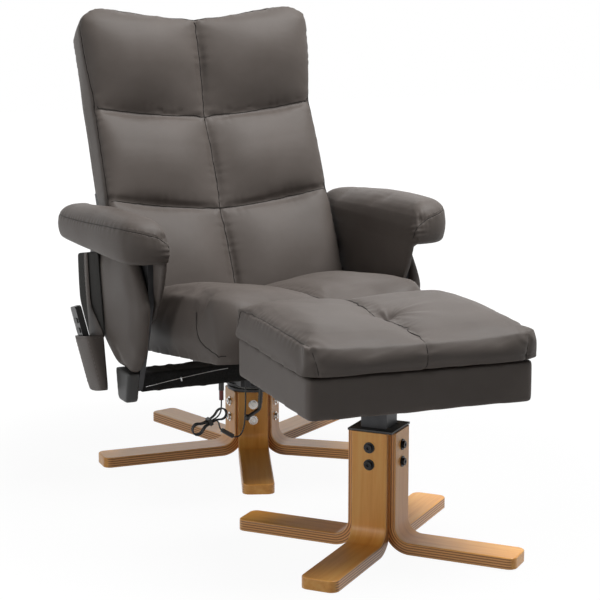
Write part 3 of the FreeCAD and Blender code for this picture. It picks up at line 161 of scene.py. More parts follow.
def new_material(name, **sockets):
    """A material with constants on its shader, and the places its textures use."""
    material = bpy.data.materials.new(name)
    material.use_nodes = True
    tree = material.node_tree
    shader = tree.nodes["Principled BSDF"]
    for key, value in sockets.items():
        shader.inputs[key.replace("_", " ")].default_value = value
    places = add(tree, "TexCoord").outputs["Object"]
    return material, tree, shader, places


def bump(tree, shader, height, strength, distance):
    made = add(tree, "Bump", {"Height": height, "Strength": strength, "Distance": distance})
    tree.links.new(made.outputs["Normal"], shader.inputs["Normal"])


def paint(tree, shader, colour, roughness):
    tree.links.new(colour, shader.inputs["Base Color"])
    tree.links.new(roughness, shader.inputs["Roughness"])


def noise_of(tree, places, scale, detail, roughness=0.55):
    made = add(tree, "TexNoise", {"Vector": places, "Scale": scale, "Detail": detail, "Roughness": roughness})
    return made.outputs["Fac"]


def mottle(tree, shader, value, dark, light, smooth, rough):
    """Colour and gloss that drift together over a surface."""
    paint(tree, shader, ramp(tree, value, [(0.3, dark), (0.7, light)]), spread(tree, value, smooth, rough))


def leather(name, dark, light):
    """Soft grained leather: small cells with fine creases between, its tone and gloss a little uneven."""
    material, tree, shader, places = new_material(name, Specular_IOR_Level=0.22)
    cells = add(tree, "TexVoronoi", {"Vector": places, "Scale": 620.0}, feature="DISTANCE_TO_EDGE")
    crease = between(tree, cells.outputs["Distance"], 0.0, 0.22)
    fine = noise_of(tree, places, scale=1500.0, detail=2.0)
    broad = noise_of(tree, places, scale=9.0, detail=4.0)
    grain = add(tree, "Math", {0: crease, 1: fine, 2: 0.2}, operation="MULTIPLY_ADD").outputs["Value"]
    mottle(tree, shader, broad, dark, light, smooth=0.44, rough=0.58)
    bump(tree, shader, grain, strength=0.22, distance=0.0007)
    return material


def cloth_weave(name, dark, light, scale):
    """Plain woven cloth: crossing ribs, with flecks of a lighter yarn."""
    material, tree, shader, places = new_material(name, Specular_IOR_Level=0.2, Sheen_Weight=0.15)
    ribs = [add(tree, "TexWave", {"Vector": places, "Scale": scale, "Distortion": 0.6},
                bands_direction=way).outputs["Fac"] for way in ("X", "Z")]
    fleck = noise_of(tree, places, scale=260.0, detail=4.0)
    paint(tree, shader, ramp(tree, fleck, [(0.35, dark), (0.75, light)]), spread(tree, fleck, 0.75, 0.95))
    bump(tree, shader, maths(tree, "MAXIMUM", *ribs), strength=0.35, distance=0.0006)
    return material


def plastic(name, dark, light, smooth, grain=900.0):
    """Moulded plastic with a fine eroded texture."""
    material, tree, shader, places = new_material(name, Specular_IOR_Level=0.5)
    broad = noise_of(tree, places, scale=14.0, detail=3.0)
    mottle(tree, shader, broad, dark, light, smooth, rough=smooth + 0.12)
    bump(tree, shader, noise_of(tree, places, scale=grain, detail=2.0), strength=0.12, distance=0.0004)
    return material


def rimmed_plastic(name, face_tone, rim_tone, rim_from, rim_full):
    """Moulded plastic with a bright rim along its rear edge, measured in the pouch's leaning frame."""
    material, tree, shader, places = new_material(name, Specular_IOR_Level=0.5)
    back_way = local_axes(tree, places, POUCH.translation, POUCH.to_euler())["Y"]
    colour = blend(tree, between(tree, back_way, rim_from, rim_full), face_tone, rim_tone)
    broad = noise_of(tree, places, scale=14.0, detail=3.0)
    paint(tree, shader, colour, spread(tree, broad, 0.30, 0.42))
    bump(tree, shader, noise_of(tree, places, scale=900.0, detail=2.0), strength=0.12, distance=0.0004)
    return material


def metal(name, dark, light, smooth):
    """Metal with drawn lines and faint handling marks."""
    material, tree, shader, places = new_material(name, Metallic=1.0)
    lines = noise_of(tree, scaled(tree, places, (40.0, 400.0, 400.0)), scale=1.0, detail=4.0)
    marks = noise_of(tree, places, scale=22.0, detail=5.0)
    mottle(tree, shader, marks, dark, light, smooth, rough=smooth + 0.16)
    bump(tree, shader, lines, strength=0.06, distance=0.0003)
    return material


def oak(name, place, turn, bend):
    """Varnished bent oak plywood: grain along the strip on its faces, glued layers on its edges.

    The strip runs down the column, round the bend, and out along the floor."""
    material, tree, shader, places = new_material(name, Coat_Weight=0.18, Coat_Roughness=0.22)
    axes = local_axes(tree, places, place, (0, 0, turn))
    out = maths(tree, "MAXIMUM", maths(tree, "SUBTRACT", bend, axes["X"]))
    below = maths(tree, "MAXIMUM", maths(tree, "SUBTRACT", BEND_HEIGHT, axes["Z"]))
    squares = [maths(tree, "MULTIPLY", side, side) for side in (out, below)]
    depth = maths(tree, "SQRT", maths(tree, "ADD", *squares))
    run = maths(tree, "SUBTRACT", axes["X"], axes["Z"])
    along = add(tree, "CombineXYZ", {"X": run, "Y": axes["Y"], "Z": depth}).outputs["Vector"]
    figure = noise_of(tree, scaled(tree, along, (3.5, 60.0, 60.0)), scale=1.0, detail=5.0, roughness=0.6)
    pores = noise_of(tree, scaled(tree, along, (45.0, 900.0, 900.0)), scale=1.0, detail=3.0)
    face = ramp(tree, figure, [(0.25, rgb(0.72, 0.280, 0.042)), (0.78, rgb(0.95, 0.54, 0.150)),
                               (0.5, rgb(0.87, 0.405, 0.082))])
    layer = maths(tree, "FRACT", maths(tree, "MULTIPLY", depth, PLY_STRIPES / PLY))
    stripes = ramp(tree, layer, [(0.0, rgb(0.84, 0.42, 0.130)), (0.62, rgb(0.36, 0.132, 0.028)),
                                 (0.5, rgb(0.86, 0.43, 0.136)), (0.95, rgb(0.39, 0.142, 0.030))])
    normal = add(tree, "NewGeometry").outputs["Normal"]
    sideways = maths(tree, "ABSOLUTE", local_axes(tree, normal, (0, 0, 0), (0, 0, turn))["Y"])
    colour = blend(tree, between(tree, sideways, 0.75, 0.9), face, stripes)
    paint(tree, shader, colour, spread(tree, pores, 0.30, 0.48))
    bump(tree, shader, pores, strength=0.12, distance=0.0004)
    return material


# Finishes by slot: darker and lighter tone, and the roughness of the smoother places
PLASTICS = {
    "black_plastic": (grey(0.012), rgb(0.022, 0.022, 0.021), 0.38),
    "red_plastic": (rgb(0.10, 0.010, 0.010), rgb(0.16, 0.018, 0.016), 0.34),
    "nylon": (rgb(0.62, 0.60, 0.54), rgb(0.72, 0.70, 0.64), 0.42),
    "lead_jacket": (grey(0.010), grey(0.020), 0.42),
    "plain_board": (rgb(0.30, 0.21, 0.12), rgb(0.40, 0.29, 0.17), 0.65, 500.0),
    "rubber_feet": (rgb(0.018, 0.017, 0.016), rgb(0.034, 0.032, 0.030), 0.70, 420.0),
}
METALS = {
    "dark_steel": (rgb(0.030, 0.030, 0.031), rgb(0.060, 0.060, 0.062), 0.38),
    "bright_steel": (rgb(0.58, 0.58, 0.57), rgb(0.72, 0.72, 0.71), 0.16),
    "black_bolts": (rgb(0.018, 0.018, 0.019), rgb(0.045, 0.045, 0.046), 0.34),
}
CLOTH_RIBS = 170.0
THREAD_RIBS = 1800.0
finishes = {name: plastic(name, *looks) for name, looks in PLASTICS.items()}
finishes.update({name: metal(name, *looks) for name, looks in METALS.items()})
finishes["taupe_leather"] = leather("taupe_leather", rgb(0.104, 0.088, 0.078), rgb(0.128, 0.109, 0.098))
finishes["black_fabric"] = cloth_weave("black_fabric", grey(0.006), grey(0.022), CLOTH_RIBS)
finishes["silver_plastic"] = rimmed_plastic("handset_face", grey(0.014), rgb(0.66, 0.66, 0.67),
                                            rim_from=0.0250, rim_full=0.0262)
# Dark cloth of the pouch strap: its dark tone is painted shade, for leather in shade behind the strip and
# shadow in front of it
strap_cloth_painted_shade = cloth_weave("strap_cloth_painted_shade", rgb(0.024, 0.023, 0.021), rgb(0.050, 0.047, 0.043), CLOTH_RIBS)
thread = cloth_weave("thread", rgb(0.022, 0.018, 0.016), rgb(0.040, 0.033, 0.029), THREAD_RIBS)
pale_thread = cloth_weave("pale_thread", rgb(0.20, 0.175, 0.155), rgb(0.30, 0.265, 0.24), THREAD_RIBS)
zip_metal = metal("zip_metal", grey(0.40), grey(0.62), 0.28)


def finish_legs(label, count, first_turn, place, bend):
    """Oak on each leg of a base, its grain along the leg."""
    for number in range(count):
        turn = math.radians(first_turn + 360 / count * number)
        finish = oak("oak_%s_%d" % (label, number + 1), place, turn, bend)
        nodes["%s_leg_%d" % (label, number + 1)].data.materials.append(finish)


slot_of = {row["node"]: row["material_slot"] for row in frame["record"]["subparts"]}
for name, piece in nodes.items():
    piece.data.materials.clear()
    if slot_of[name] != "oak_plywood":
        piece.data.materials.append(finishes[slot_of[name]])
finish_legs("chair", count=5, first_turn=-112, place=(0, 0, 0), bend=CHAIR_BEND)
finish_legs("stool", count=4, first_turn=45 + STOOL_TURN, place=STOOL_PLACE, bend=STOOL_BEND)


# Mesh helpers

TURNING = "turning_frame"
LINE_STEP = 0.003
LINE_CALM = 6


def dress(piece, body, slot, material=None, replaced=()):
    """Give a piece its finish, its body and the nodes it stands for."""
    piece.data.materials.clear()
    piece.data.materials.append(material or finishes[slot])
    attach(piece, body)
    if replaced:
        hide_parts(*replaced)


def new_piece(name, mesh, body, slot, material=None, replaced=()):
    piece = add_object(name, mesh)
    dress(piece, body, slot, material, replaced)
    return piece


def mesh_of(name, places, faces):
    mesh = bpy.data.meshes.new(name)
    mesh.from_pydata([tuple(place) for place in places], [], faces)
    mesh.shade_smooth()
    return mesh


def points_of(mesh, field="co"):
    """Places or normals of a mesh's points, as rows."""
    flat = np.empty(len(mesh.vertices) * 3, dtype=np.float32)
    mesh.vertices.foreach_get(field, flat)
    return flat.reshape(-1, 3).astype(float)


def move_points(mesh, places):
    mesh.vertices.foreach_set("co", places.astype(np.float32).ravel())
    mesh.update()


def raise_points(mesh, heights):
    """Move each point along its normal by a height of its own."""
    move_points(mesh, points_of(mesh) + points_of(mesh, "normal") * heights[:, None])


def apply_modifiers(piece):
    """Turn what the modifiers give into the piece's own mesh."""
    shown = piece.evaluated_get(bpy.context.evaluated_depsgraph_get())
    mesh = bpy.data.meshes.new_from_object(shown)
    piece.modifiers.clear()
    old = piece.data
    piece.data = mesh
    bpy.data.meshes.remove(old)
    mesh.shade_smooth()


def into(matrix, places):
    """Rows of places taken from the world into a frame."""
    inverse = np.array(matrix.inverted())
    return places @ inverse[:3, :3].T + inverse[:3, 3]


def out_of(matrix, places):
    """Rows of places taken from a frame into the world."""
    forward = np.array(matrix)
    return places @ forward[:3, :3].T + forward[:3, 3]


def climb(values, start, reach):
    """0 at a start, climbing to 1 over a reach, or the other way with a reach below zero."""
    return np.clip((values - start) / reach, 0, 1)


def eased(mesh, values, rounds):
    """Rows of values, each averaged with its neighbours' on the mesh, several rounds."""
    pairs = np.empty(len(mesh.edges) * 2, dtype=np.int32)
    mesh.edges.foreach_get("vertices", pairs)
    a, b = pairs.reshape(-1, 2).T
    count = np.bincount(a, minlength=len(values)) + np.bincount(b, minlength=len(values))
    for number in range(rounds):
        total = np.zeros_like(values)
        np.add.at(total, a, values[b])
        np.add.at(total, b, values[a])
        values = (values + total / count[:, None]) / 2
    return values


def fill_box(piece, matrix, node):
    """Stretch a piece, in a frame, to the extent of the solid it stands for."""
    mine = into(matrix, points_of(piece.data))
    solid = into(matrix, points_of(nodes[node].data))
    share = (mine - mine.min(0)) / (mine.max(0) - mine.min(0))
    move_points(piece.data, out_of(matrix, solid.min(0) + share * (solid.max(0) - solid.min(0))))


def line_through(matrix, *stops):
    """Points every few millimetres on a smooth line through stops of a frame, in the world."""
    rows = [np.array(stop, dtype=float) for stop in stops]
    rows = [2 * rows[0] - rows[1]] + rows + [2 * rows[-1] - rows[-2]]
    line = []
    for a, b, c, d in zip(rows, rows[1:], rows[2:], rows[3:]):
        count = max(2, int(np.linalg.norm(c - b) / LINE_STEP))
        for t in np.arange(count) / count:
            line.append(b + (c - a) * t / 2 + (a - 2.5 * b + 2 * c - d / 2) * t ** 2
                        + (1.5 * b - a / 2 - 1.5 * c + d / 2) * t ** 3)
    line.append(rows[-2])
    return [matrix @ Vector(spot) for spot in line]


def both_sides(matrix, stops):
    """Lines through stops of a frame and through their mirror image, the left one first."""
    return [line_through(matrix, *[(side * x, y, z) for x, y, z in stops]) for side in (-1, 1)]


def surface_of(mesh):
    """A search tree over a mesh's faces."""
    solid = bmesh.new()
    solid.from_mesh(mesh)
    tree = BVHTree.FromBMesh(solid)
    solid.free()
    return tree


def laid_on(tree, line, lift=0.0):
    """A line brought onto a surface, or a little above it, and calmed."""
    spots = []
    for spot in line:
        place, normal = tree.find_nearest(spot)[:2]
        spots.append(place + normal * lift)
    for number in range(LINE_CALM):
        middles = [(a + b * 2 + c) / 4 for a, b, c in zip(spots, spots[1:], spots[2:])]
        spots = spots[:1] + middles + spots[-1:]
    return spots


def distance_to(places, line):
    """Distances of places to a line, and how far along it the nearest spots are."""
    search = KDTree(len(line))
    along = [0.0]
    for index, spot in enumerate(line):
        search.insert(spot, index)
        if index:
            along.append(along[-1] + (spot - line[index - 1]).length)
    search.balance()
    found = [search.find(place)[1:] for place in places]
    return np.array([row[1] for row in found]), np.array([along[row[0]] for row in found])


def faces_between(rows, count, first=0, closed=True):
    """Faces between rows of points, one row after another, each row closed to a ring or open."""
    faces = []
    for row in range(rows - 1):
        for index in range(count if closed else count - 1):
            a = first + row * count + index
            b = first + row * count + (index + 1) % count
            faces.append((a, b, b + count, a + count))
    return faces


def tubes(name, lines, radius, sides=6):
    """Thin round cords along lines, in one mesh."""
    places = []
    faces = []
    for line in lines:
        first = len(places)
        side = Vector((0.31, 0.57, 0.76))
        for index, spot in enumerate(line):
            way = (line[min(index + 1, len(line) - 1)] - line[max(index - 1, 0)]).normalized()
            side = (side - way * side.dot(way)).normalized()
            across = way.cross(side)
            for number in range(sides):
                turn = 2 * math.pi * number / sides
                places.append(spot + (side * math.cos(turn) + across * math.sin(turn)) * radius)
        faces += faces_between(len(line), sides, first)
        faces.append(tuple(first + number for number in reversed(range(sides))))
        faces.append(tuple(first + (len(line) - 1) * sides + number for number in range(sides)))
    return mesh_of(name, places, faces)


# Upholstery

CLOTH_FRAMES = 20
LEAST_HELD = 0.02
SEAM_GRIP = 1.4
STITCH_LENGTH = 0.0042
STITCH_GAP = 0.0022
STITCH_RADIUS = 0.00045
# Puckers: the waves that space them unevenly, and how far from the seam they end and begin, in its widths
PUCKER_DRIFT = (2.2, 41), (1.1, 97)
PUCKER_END = 2.6
PUCKER_BEGIN = 0.4
GATHER_SLANT = 40


def even_out(piece, voxel, smooth):
    """Remesh a piece evenly, with the steps smoothed."""
    remesh = piece.modifiers.new("even", "REMESH")
    remesh.mode = "VOXEL"
    remesh.voxel_size = voxel
    calm = piece.modifiers.new("calm", "SMOOTH")
    calm.factor = 0.5
    calm.iterations = smooth
    apply_modifiers(piece)


def evenly(node, name, voxel, smooth=3):
    """A solid's mesh copied to a piece of its own and remeshed evenly."""
    piece = add_object(name, nodes[node].data.copy())
    even_out(piece, voxel, smooth)
    return piece


def sewn_near(places, lines, reach):
    """How firmly points are sewn down: 1 on a seam, 0 beyond its reach."""
    held = np.zeros(len(places))
    for line in lines:
        held = np.maximum(held, np.clip(SEAM_GRIP - distance_to(places, line)[0] / reach, 0, 1))
    return held


def stuff(piece, fixed, shrink, pressure, cap, seams=(), reach=0.0, calm=6):
    """Swell a slightly shrunken piece with a cloth simulation, held where it is fixed and near its seams.

    Cap is the furthest a point may move, and calm how many rounds even out the creases that are left."""
    mesh = piece.data
    start = points_of(mesh)
    held = np.maximum(sewn_near(start, seams, reach), fixed)
    small = start - points_of(mesh, "normal") * shrink * (1 - held)[:, None]
    move_points(mesh, small)
    group = piece.vertex_groups.new(name="sewn")
    for level in np.unique(np.round(held[held > LEAST_HELD], 1)):
        rows = np.nonzero(np.round(held, 1) == level)[0]
        group.add(rows.tolist(), float(level), "REPLACE")
    cloth = piece.modifiers.new("cloth", "CLOTH")
    settings = cloth.settings
    settings.quality = 4
    settings.mass = 0.3
    settings.tension_stiffness = 12
    settings.compression_stiffness = 12
    settings.shear_stiffness = 6
    settings.bending_stiffness = 2.0
    settings.use_pressure = True
    settings.uniform_pressure_force = pressure
    settings.vertex_group_mass = "sewn"
    settings.effector_weights.gravity = 0
    cloth.collision_settings.use_collision = False
    for number in range(1, CLOTH_FRAMES + 1):
        scene.frame_set(number)
    shown = piece.evaluated_get(bpy.context.evaluated_depsgraph_get())
    swollen = points_of(shown.data)
    piece.modifiers.clear()
    piece.vertex_groups.clear()
    scene.frame_set(1)
    moved = swollen - small
    length = np.maximum(np.linalg.norm(moved, axis=1), 1e-9)
    moved = eased(mesh, moved * np.minimum(1, cap / length)[:, None], calm)
    move_points(mesh, small + moved)


def thicken(piece, thickness):
    """Give a sheet its thickness, half to each side."""
    wall = piece.modifiers.new("wall", "SOLIDIFY")
    wall.thickness = thickness
    wall.offset = 0


def finer(piece):
    """One subdivision, applied with any modifier before it."""
    divide = piece.modifiers.new("finer", "SUBSURF")
    divide.levels = 1
    divide.render_levels = 1
    apply_modifiers(piece)


def sew(piece, lines, depth, width, pucker, step):
    """Sink a piece along its seams, with small puckers beside them, unevenly spaced."""
    tree = surface_of(piece.data)
    places = points_of(piece.data)
    sink = np.zeros(len(places))
    ripple = np.zeros(len(places))
    for line in lines:
        far, along = distance_to(places, laid_on(tree, line))
        sink = np.maximum(sink, depth * np.exp(-(far / width) ** 2))
        phase = along * 2 * math.pi / step
        for shift, pace in PUCKER_DRIFT:
            phase += shift * np.sin(along * pace)
        begun = 1 - np.exp(-(far / (PUCKER_BEGIN * width)) ** 2)
        beside = np.exp(-(far / (PUCKER_END * width)) ** 2) * begun
        ripple += pucker * np.sin(phase) * beside
    raise_points(piece.data, -(sink + ripple))


def gather(piece, spot, along, reach, height, step):
    """Small folds round a spot, one behind the other, as where a seam is drawn together."""
    away = points_of(piece.data) - np.array(spot)
    phase = away @ np.array(along.normalized()) * 2 * math.pi / step + GATHER_SLANT * away[:, 1]
    raise_points(piece.data, height * np.sin(phase) * np.exp(-(np.linalg.norm(away, axis=1) / reach) ** 2))


def rumple(piece, size, height, seed):
    """Soft unevenness of a stuffed surface, the same each run."""
    shift = Vector((seed, 0.7 * seed, 1.3 * seed))
    wave = np.array([noise.noise(Vector(place) / size + shift) for place in points_of(piece.data)])
    raise_points(piece.data, wave * height)


def seam_threads(name, piece, lines, body, radius=0.0009):
    """The dark line of each seam, lying in its valley."""
    tree = surface_of(piece.data)
    runs = [laid_on(tree, line, radius * 0.3) for line in lines]
    new_piece(name, tubes(name, runs, radius), body, "taupe_leather", thread)


def stitches(name, piece, lines, body):
    """A row of pale stitches along lines, each a short thread lying on the leather."""
    tree = surface_of(piece.data)
    runs = []
    for line in lines:
        spots = laid_on(tree, line)
        travelled = 0.0
        begin = 0
        for index in range(1, len(spots)):
            travelled += (spots[index] - spots[index - 1]).length
            if travelled >= STITCH_LENGTH + STITCH_GAP:
                a = spots[begin]
                way = (spots[index] - a).normalized() * STITCH_LENGTH
                runs.append(laid_on(tree, [a, a + way * 0.5, a + way], STITCH_RADIUS * 0.5))
                travelled = 0.0
                begin = index
    new_piece(name, tubes(name, runs, STITCH_RADIUS, sides=5), body, "taupe_leather", pale_thread)


def finish_soft(piece, body, node):
    """Dress a stuffed piece in leather on its body, in place of its solid, which is hidden."""
    dress(piece, body, "taupe_leather", replaced=(node,))


# Leads and their tied hank. The hank's turns are in its own plane, in millimetres

HANK = turned_frame((-0.136, -0.072, 0.099), "Y", -27)
HANK_TURNS = 5
HANK_LAYER = 5
HANK_RISE = 4.6
HANK_DRAWN_IN = 0.01
RETURN_Y = -0.064
LEFT_LOBE = [(0, 4), (-11, 4), (-20, 6.6), (-28, 12), (-38, 12), (-45, 5), (-45, -5), (-38, -12), (-28, -12),
             (-20, -6.6), (-11, -4)]
RIGHT_LOBE = [(-x, -z) for x, z in LEFT_LOBE]


def hank_place(x, y, z):
    return HANK @ Vector((x / 1000, y / 1000, z / 1000))


def half_turn(number):
    """Control points of half a turn, each shorter than the last, the right ones stepping up a layer."""
    right = number % 2
    lobe = RIGHT_LOBE if right else LEFT_LOBE
    share = 1 - HANK_DRAWN_IN * number
    layer = HANK_LAYER * (number // 2 - 1)
    last = len(lobe) - 1
    return [hank_place(x * share, layer + HANK_RISE * right * i / last, z) for i, (x, z) in enumerate(lobe)]


main_points = [(-0.112, -0.084, 0.1485), (-0.112, -0.084, 0.1417), (-0.112, -0.083, 0.1310),
               (-0.1128, -0.081, 0.1190), (-0.1195, -0.079, 0.1095), (-0.1275, -0.0775, 0.1045)]
main_points += [spot for number in range(HANK_TURNS) for spot in half_turn(number)][1:]
main_points += [hank_place(0, HANK_LAYER, -4), (-0.1274, -0.066, 0.0996), (-0.1189, -0.065, 0.0993),
                (-0.1114, -0.0643, 0.0940), (-0.1092, RETURN_Y, 0.0860), (-0.1070, RETURN_Y, 0.0766),
                (-0.103, RETURN_Y, 0.074)]
return_stops = [(-0.0762, 0.0566), (-0.0729, 0.0544), (-0.0665, 0.0538), (-0.0600, 0.0561), (-0.0553, 0.0607),
                (-0.0525, 0.0668), (-0.0479, 0.0793), (-0.0468, 0.1010), (-0.0450, 0.1250), (-0.0450, 0.1500),
                (-0.0450, 0.1747), (-0.0450, 0.1815)]
return_points = [(x, RETURN_Y, z) for x, z in return_stops]


def lead(name, points, node):
    """A lead on one smooth line by its control points."""
    data = bpy.data.curves.new(name, "CURVE")
    data.dimensions = "3D"
    data.bevel_depth = 0.0017
    data.bevel_resolution = 3
    spline = data.splines.new("NURBS")
    spline.points.add(len(points) - 1)
    for point, place in zip(spline.points, points):
        point.co = (*place, 1)
    spline.order_u = 3
    spline.use_endpoint_u = True
    spline.resolution_u = 6
    return new_piece(name, data, TURNING, "lead_jacket", replaced=(node,))


lead_main = lead("lead_main_line", main_points, "lead_main")
lead_return = lead("lead_return_line", return_points, "lead_return")


# Back cushion: six panels, gussets at the sides, horns at the top corners. Places are in the back's frame

BACK_HALF = 0.27
# By height: how far a row's sides lift above its middle, and the shares that the front widens and deepens
BACK_LIFT = (0.0, 0.13, 0.257, 0.37, 0.481, 0.58, 0.68), (0, 0.020, 0.034, 0.031, 0.026, 0.012, 0)
BACK_FLARE = (0.25, 0.40, 0.52, 0.64, 0.70), (0.020, 0.012, 0.016, 0.056, 0.070)
BACK_FULLER = (0.40, 0.50, 0.60, 0.70), (0, 0.07, 0.27, 0.44)
BACK_WIDER = 0.016
BACK_SQUARE = 0.015
BACK_DRAWN = 0.024
BACK_MIDDLE = [(0, -0.052, 0.03), (0, -0.046, 0.257), (0, -0.042, 0.481), (0, -0.052, 0.70)]
# Height and depth of each cross seam, and its stops from side to side
BACK_ROWS = (0.257, 0.045), (0.481, 0.041)
BACK_ROW_STOPS = (-0.266, -0.13, 0, 0.13, 0.266)
# Seam between the front and its gusset, up one side and over the top to the middle
BACK_GUSSET = [(0.268, -0.040, 0.02), (0.268, -0.036, 0.257), (0.268, -0.034, 0.481), (0.267, -0.038, 0.64),
               (0.262, -0.040, 0.68), (0.250, -0.042, 0.714), (0.213, -0.046, 0.735), (0.12, -0.048, 0.726),
               (0, -0.048, 0.711)]


def shape_back(rows):
    """The back's own form: square front edges, wide horns, rows rising from the middle seam to the sides."""
    x, y, z = rows.T
    side = np.minimum(np.abs(x) / BACK_HALF, 1.0)
    flare = BACK_WIDER + climb(y, start=0.020, reach=-0.060) * np.interp(z, *BACK_FLARE)
    deep = np.where(y < 0, y * (1 + np.interp(z, *BACK_FULLER)), y)
    square = BACK_SQUARE * climb(side, start=0.55, reach=0.45) ** 1.5 * climb(y, start=-0.015, reach=-0.020)
    return np.stack([x * (1 + flare), deep - square, z + np.interp(z, *BACK_LIFT) * side ** 1.4], axis=1)


def on_back(*stops):
    """A line on the shaped back, through stops of its frame."""
    rows = np.array([tuple(spot) for spot in line_through(WORLD, *stops)])
    return [Vector(row) for row in out_of(BACK, shape_back(rows))]


back = evenly("back_cushion", "back_padding", voxel=0.007, smooth=2)
flat_seams = [line_through(BACK, *BACK_MIDDLE)]
back_seams = [on_back(*BACK_MIDDLE)]
for height, depth in BACK_ROWS:
    stops = [(x, -depth, height) for x in BACK_ROW_STOPS]
    flat_seams.append(line_through(BACK, *stops[::2]))
    back_seams.append(on_back(*stops))
gussets = [on_back(*[(side * x, y, z) for x, y, z in BACK_GUSSET]) for side in (-1, 1)]
at_board = climb(into(BACK, points_of(back.data))[:, 1], start=-0.006, reach=0.004)
stuff(back, at_board, shrink=0.004, pressure=4.0, cap=0.016, seams=flat_seams, reach=0.005)
fill_box(back, BACK, "back_cushion")
rows = into(BACK, points_of(back.data))
rows[:, 1] += BACK_DRAWN * climb(rows[:, 1], start=-0.020, reach=0.020)
move_points(back.data, out_of(BACK, shape_back(rows)))
finer(back)
rumple(back, size=0.085, height=0.0014, seed=3.0)
sew(back, back_seams, depth=0.007, width=0.008, pucker=0.0005, step=0.030)
sew(back, gussets, depth=0.0022, width=0.005, pucker=0.0007, step=0.026)
finish_soft(back, "back", "back_cushion")
seam_threads("back_seams", back, back_seams + gussets, "back")


# Rear cover, its sides drawn round the board's edge to meet the cushion, in the back's frame

REAR_WIDTH = (0.50, 0.66, 0.74), (1.012, 0.995, 0.955)
REAR_FACE = 0.012
REAR_FORWARD = 0.002
REAR_FULLER = 1.6
REAR_TALLER_FROM = 0.4
REAR_TALLER = 0.03
rear = evenly("back_rear_cover", "rear_padding", voxel=0.006)
rows = into(BACK, points_of(rear.data))
rows[:, 0] *= np.interp(rows[:, 2], *REAR_WIDTH)
rows[:, 1] = REAR_FACE - REAR_FORWARD + (rows[:, 1] - REAR_FACE) * REAR_FULLER
rows[:, 2] += np.maximum(rows[:, 2] - REAR_TALLER_FROM, 0) * REAR_TALLER
move_points(rear.data, out_of(BACK, shape_back(rows)))
finer(rear)
rumple(rear, size=0.11, height=0.0016, seed=11.0)
finish_soft(rear, "back", "back_rear_cover")


# Seat cushion, in the seat's frame, but for the corner seams in the world

SEAT_MIDDLE = [(0, 0.03, 0.128), (0, -0.15, 0.135), (0, -0.30, 0.130), (0, -0.372, 0.108), (0, -0.402, 0.06),
               (0, -0.402, 0.01)]
SEAT_CORNER = [(0.258, -0.262, 0.392), (0.258, -0.29, 0.357), (0.258, -0.315, 0.335), (0.258, -0.382, 0.315),
               (0.250, -0.416, 0.313)]
SEAT_SHOULDER = 0.026
SEAT_TOP = 0.140
SEAT_TOP_GIVE = 0.6
# The rim hangs over the board's edge: how far, how high it takes the cushion along, and where it starts
SEAT_RIM_DROP = 0.006
SEAT_RIM_HIGH = 0.025
SEAT_RIM_FLAT = 0.010
SEAT_RIM_SIDE = 0.222
SEAT_RIM_FRONT = -0.321
SEAT_RIM_REACH = 0.016
SEAT_RIM_GIVE = 0.2
seat = evenly("seat_cushion", "seat_padding", voxel=0.007)
seat_middle = [line_through(SEAT, *SEAT_MIDDLE)]
seat_corners = both_sides(WORLD, SEAT_CORNER)
at_board = climb(into(SEAT, points_of(seat.data))[:, 2], start=0.008, reach=-0.004)
stuff(seat, at_board, shrink=0.004, pressure=4.0, cap=0.014, seams=seat_middle, reach=0.012)
fill_box(seat, SEAT, "seat_cushion")
rows = into(SEAT, points_of(seat.data))
shoulder = climb(np.abs(rows[:, 0]), start=0.08, reach=0.16) ** 1.2
rows[:, 2] += SEAT_SHOULDER * shoulder * climb(rows[:, 2], start=0.05, reach=0.05)
rows[:, 2] = np.where(rows[:, 2] > SEAT_TOP, SEAT_TOP + (rows[:, 2] - SEAT_TOP) * SEAT_TOP_GIVE, rows[:, 2])
rim = np.maximum(climb(np.abs(rows[:, 0]), SEAT_RIM_SIDE, SEAT_RIM_REACH),
                 climb(rows[:, 1], SEAT_RIM_FRONT, -SEAT_RIM_REACH))
on_rim = (rim >= 1) & (rows[:, 2] < SEAT_RIM_FLAT)
rows[:, 2] = np.where(on_rim, np.minimum(rows[:, 2], 0.0) * SEAT_RIM_GIVE, rows[:, 2])
rows[:, 2] -= SEAT_RIM_DROP * rim * climb(rows[:, 2], SEAT_RIM_HIGH, -SEAT_RIM_HIGH)
move_points(seat.data, out_of(SEAT, rows))
finer(seat)
rumple(seat, size=0.085, height=0.0016, seed=21.0)
sew(seat, seat_middle, depth=0.0050, width=0.008, pucker=0.0006, step=0.030)
sew(seat, seat_corners, depth=0.0022, width=0.005, pucker=0.0004, step=0.030)
finish_soft(seat, "seat", "seat_cushion")
seam_threads("seat_seams", seat, seat_middle + seat_corners, "seat")


# Arms: boxed top pads over their inner skirts, and the padded outer panels

# Plan of the left pad's seam from the rear inner corner round the outside to the front inner corner
PAD_PLAN = [(-0.300, 0.241, 0.541), (-0.335, 0.241, 0.541), (-0.366, 0.232, 0.541), (-0.381, 0.205, 0.541),
            (-0.385, 0.150, 0.542), (-0.386, 0.060, 0.546), (-0.386, -0.030, 0.551), (-0.386, -0.110, 0.557),
            (-0.383, -0.172, 0.560), (-0.374, -0.211, 0.560), (-0.352, -0.232, 0.556),
            (-0.326, -0.240, 0.549), (-0.302, -0.242, 0.541)]
PAD_INNER_X = -0.284
PAD_INNER_NEAR = 0.004
PAD_INNER = [(-0.289, -0.238, 0.528), (PAD_INNER_X, -0.225, 0.524)]
PAD_INNER += [(PAD_INNER_X, y, 0.522) for y in (-0.18, -0.10, 0.0, 0.10, 0.20)] + [(-0.287, 0.235, 0.528)]
# Where the seam goes on from the plan, down the front inner corner
PAD_SEAM_END = [(-0.2865, -0.2355, 0.522), (PAD_INNER_X, -0.226, 0.500)]
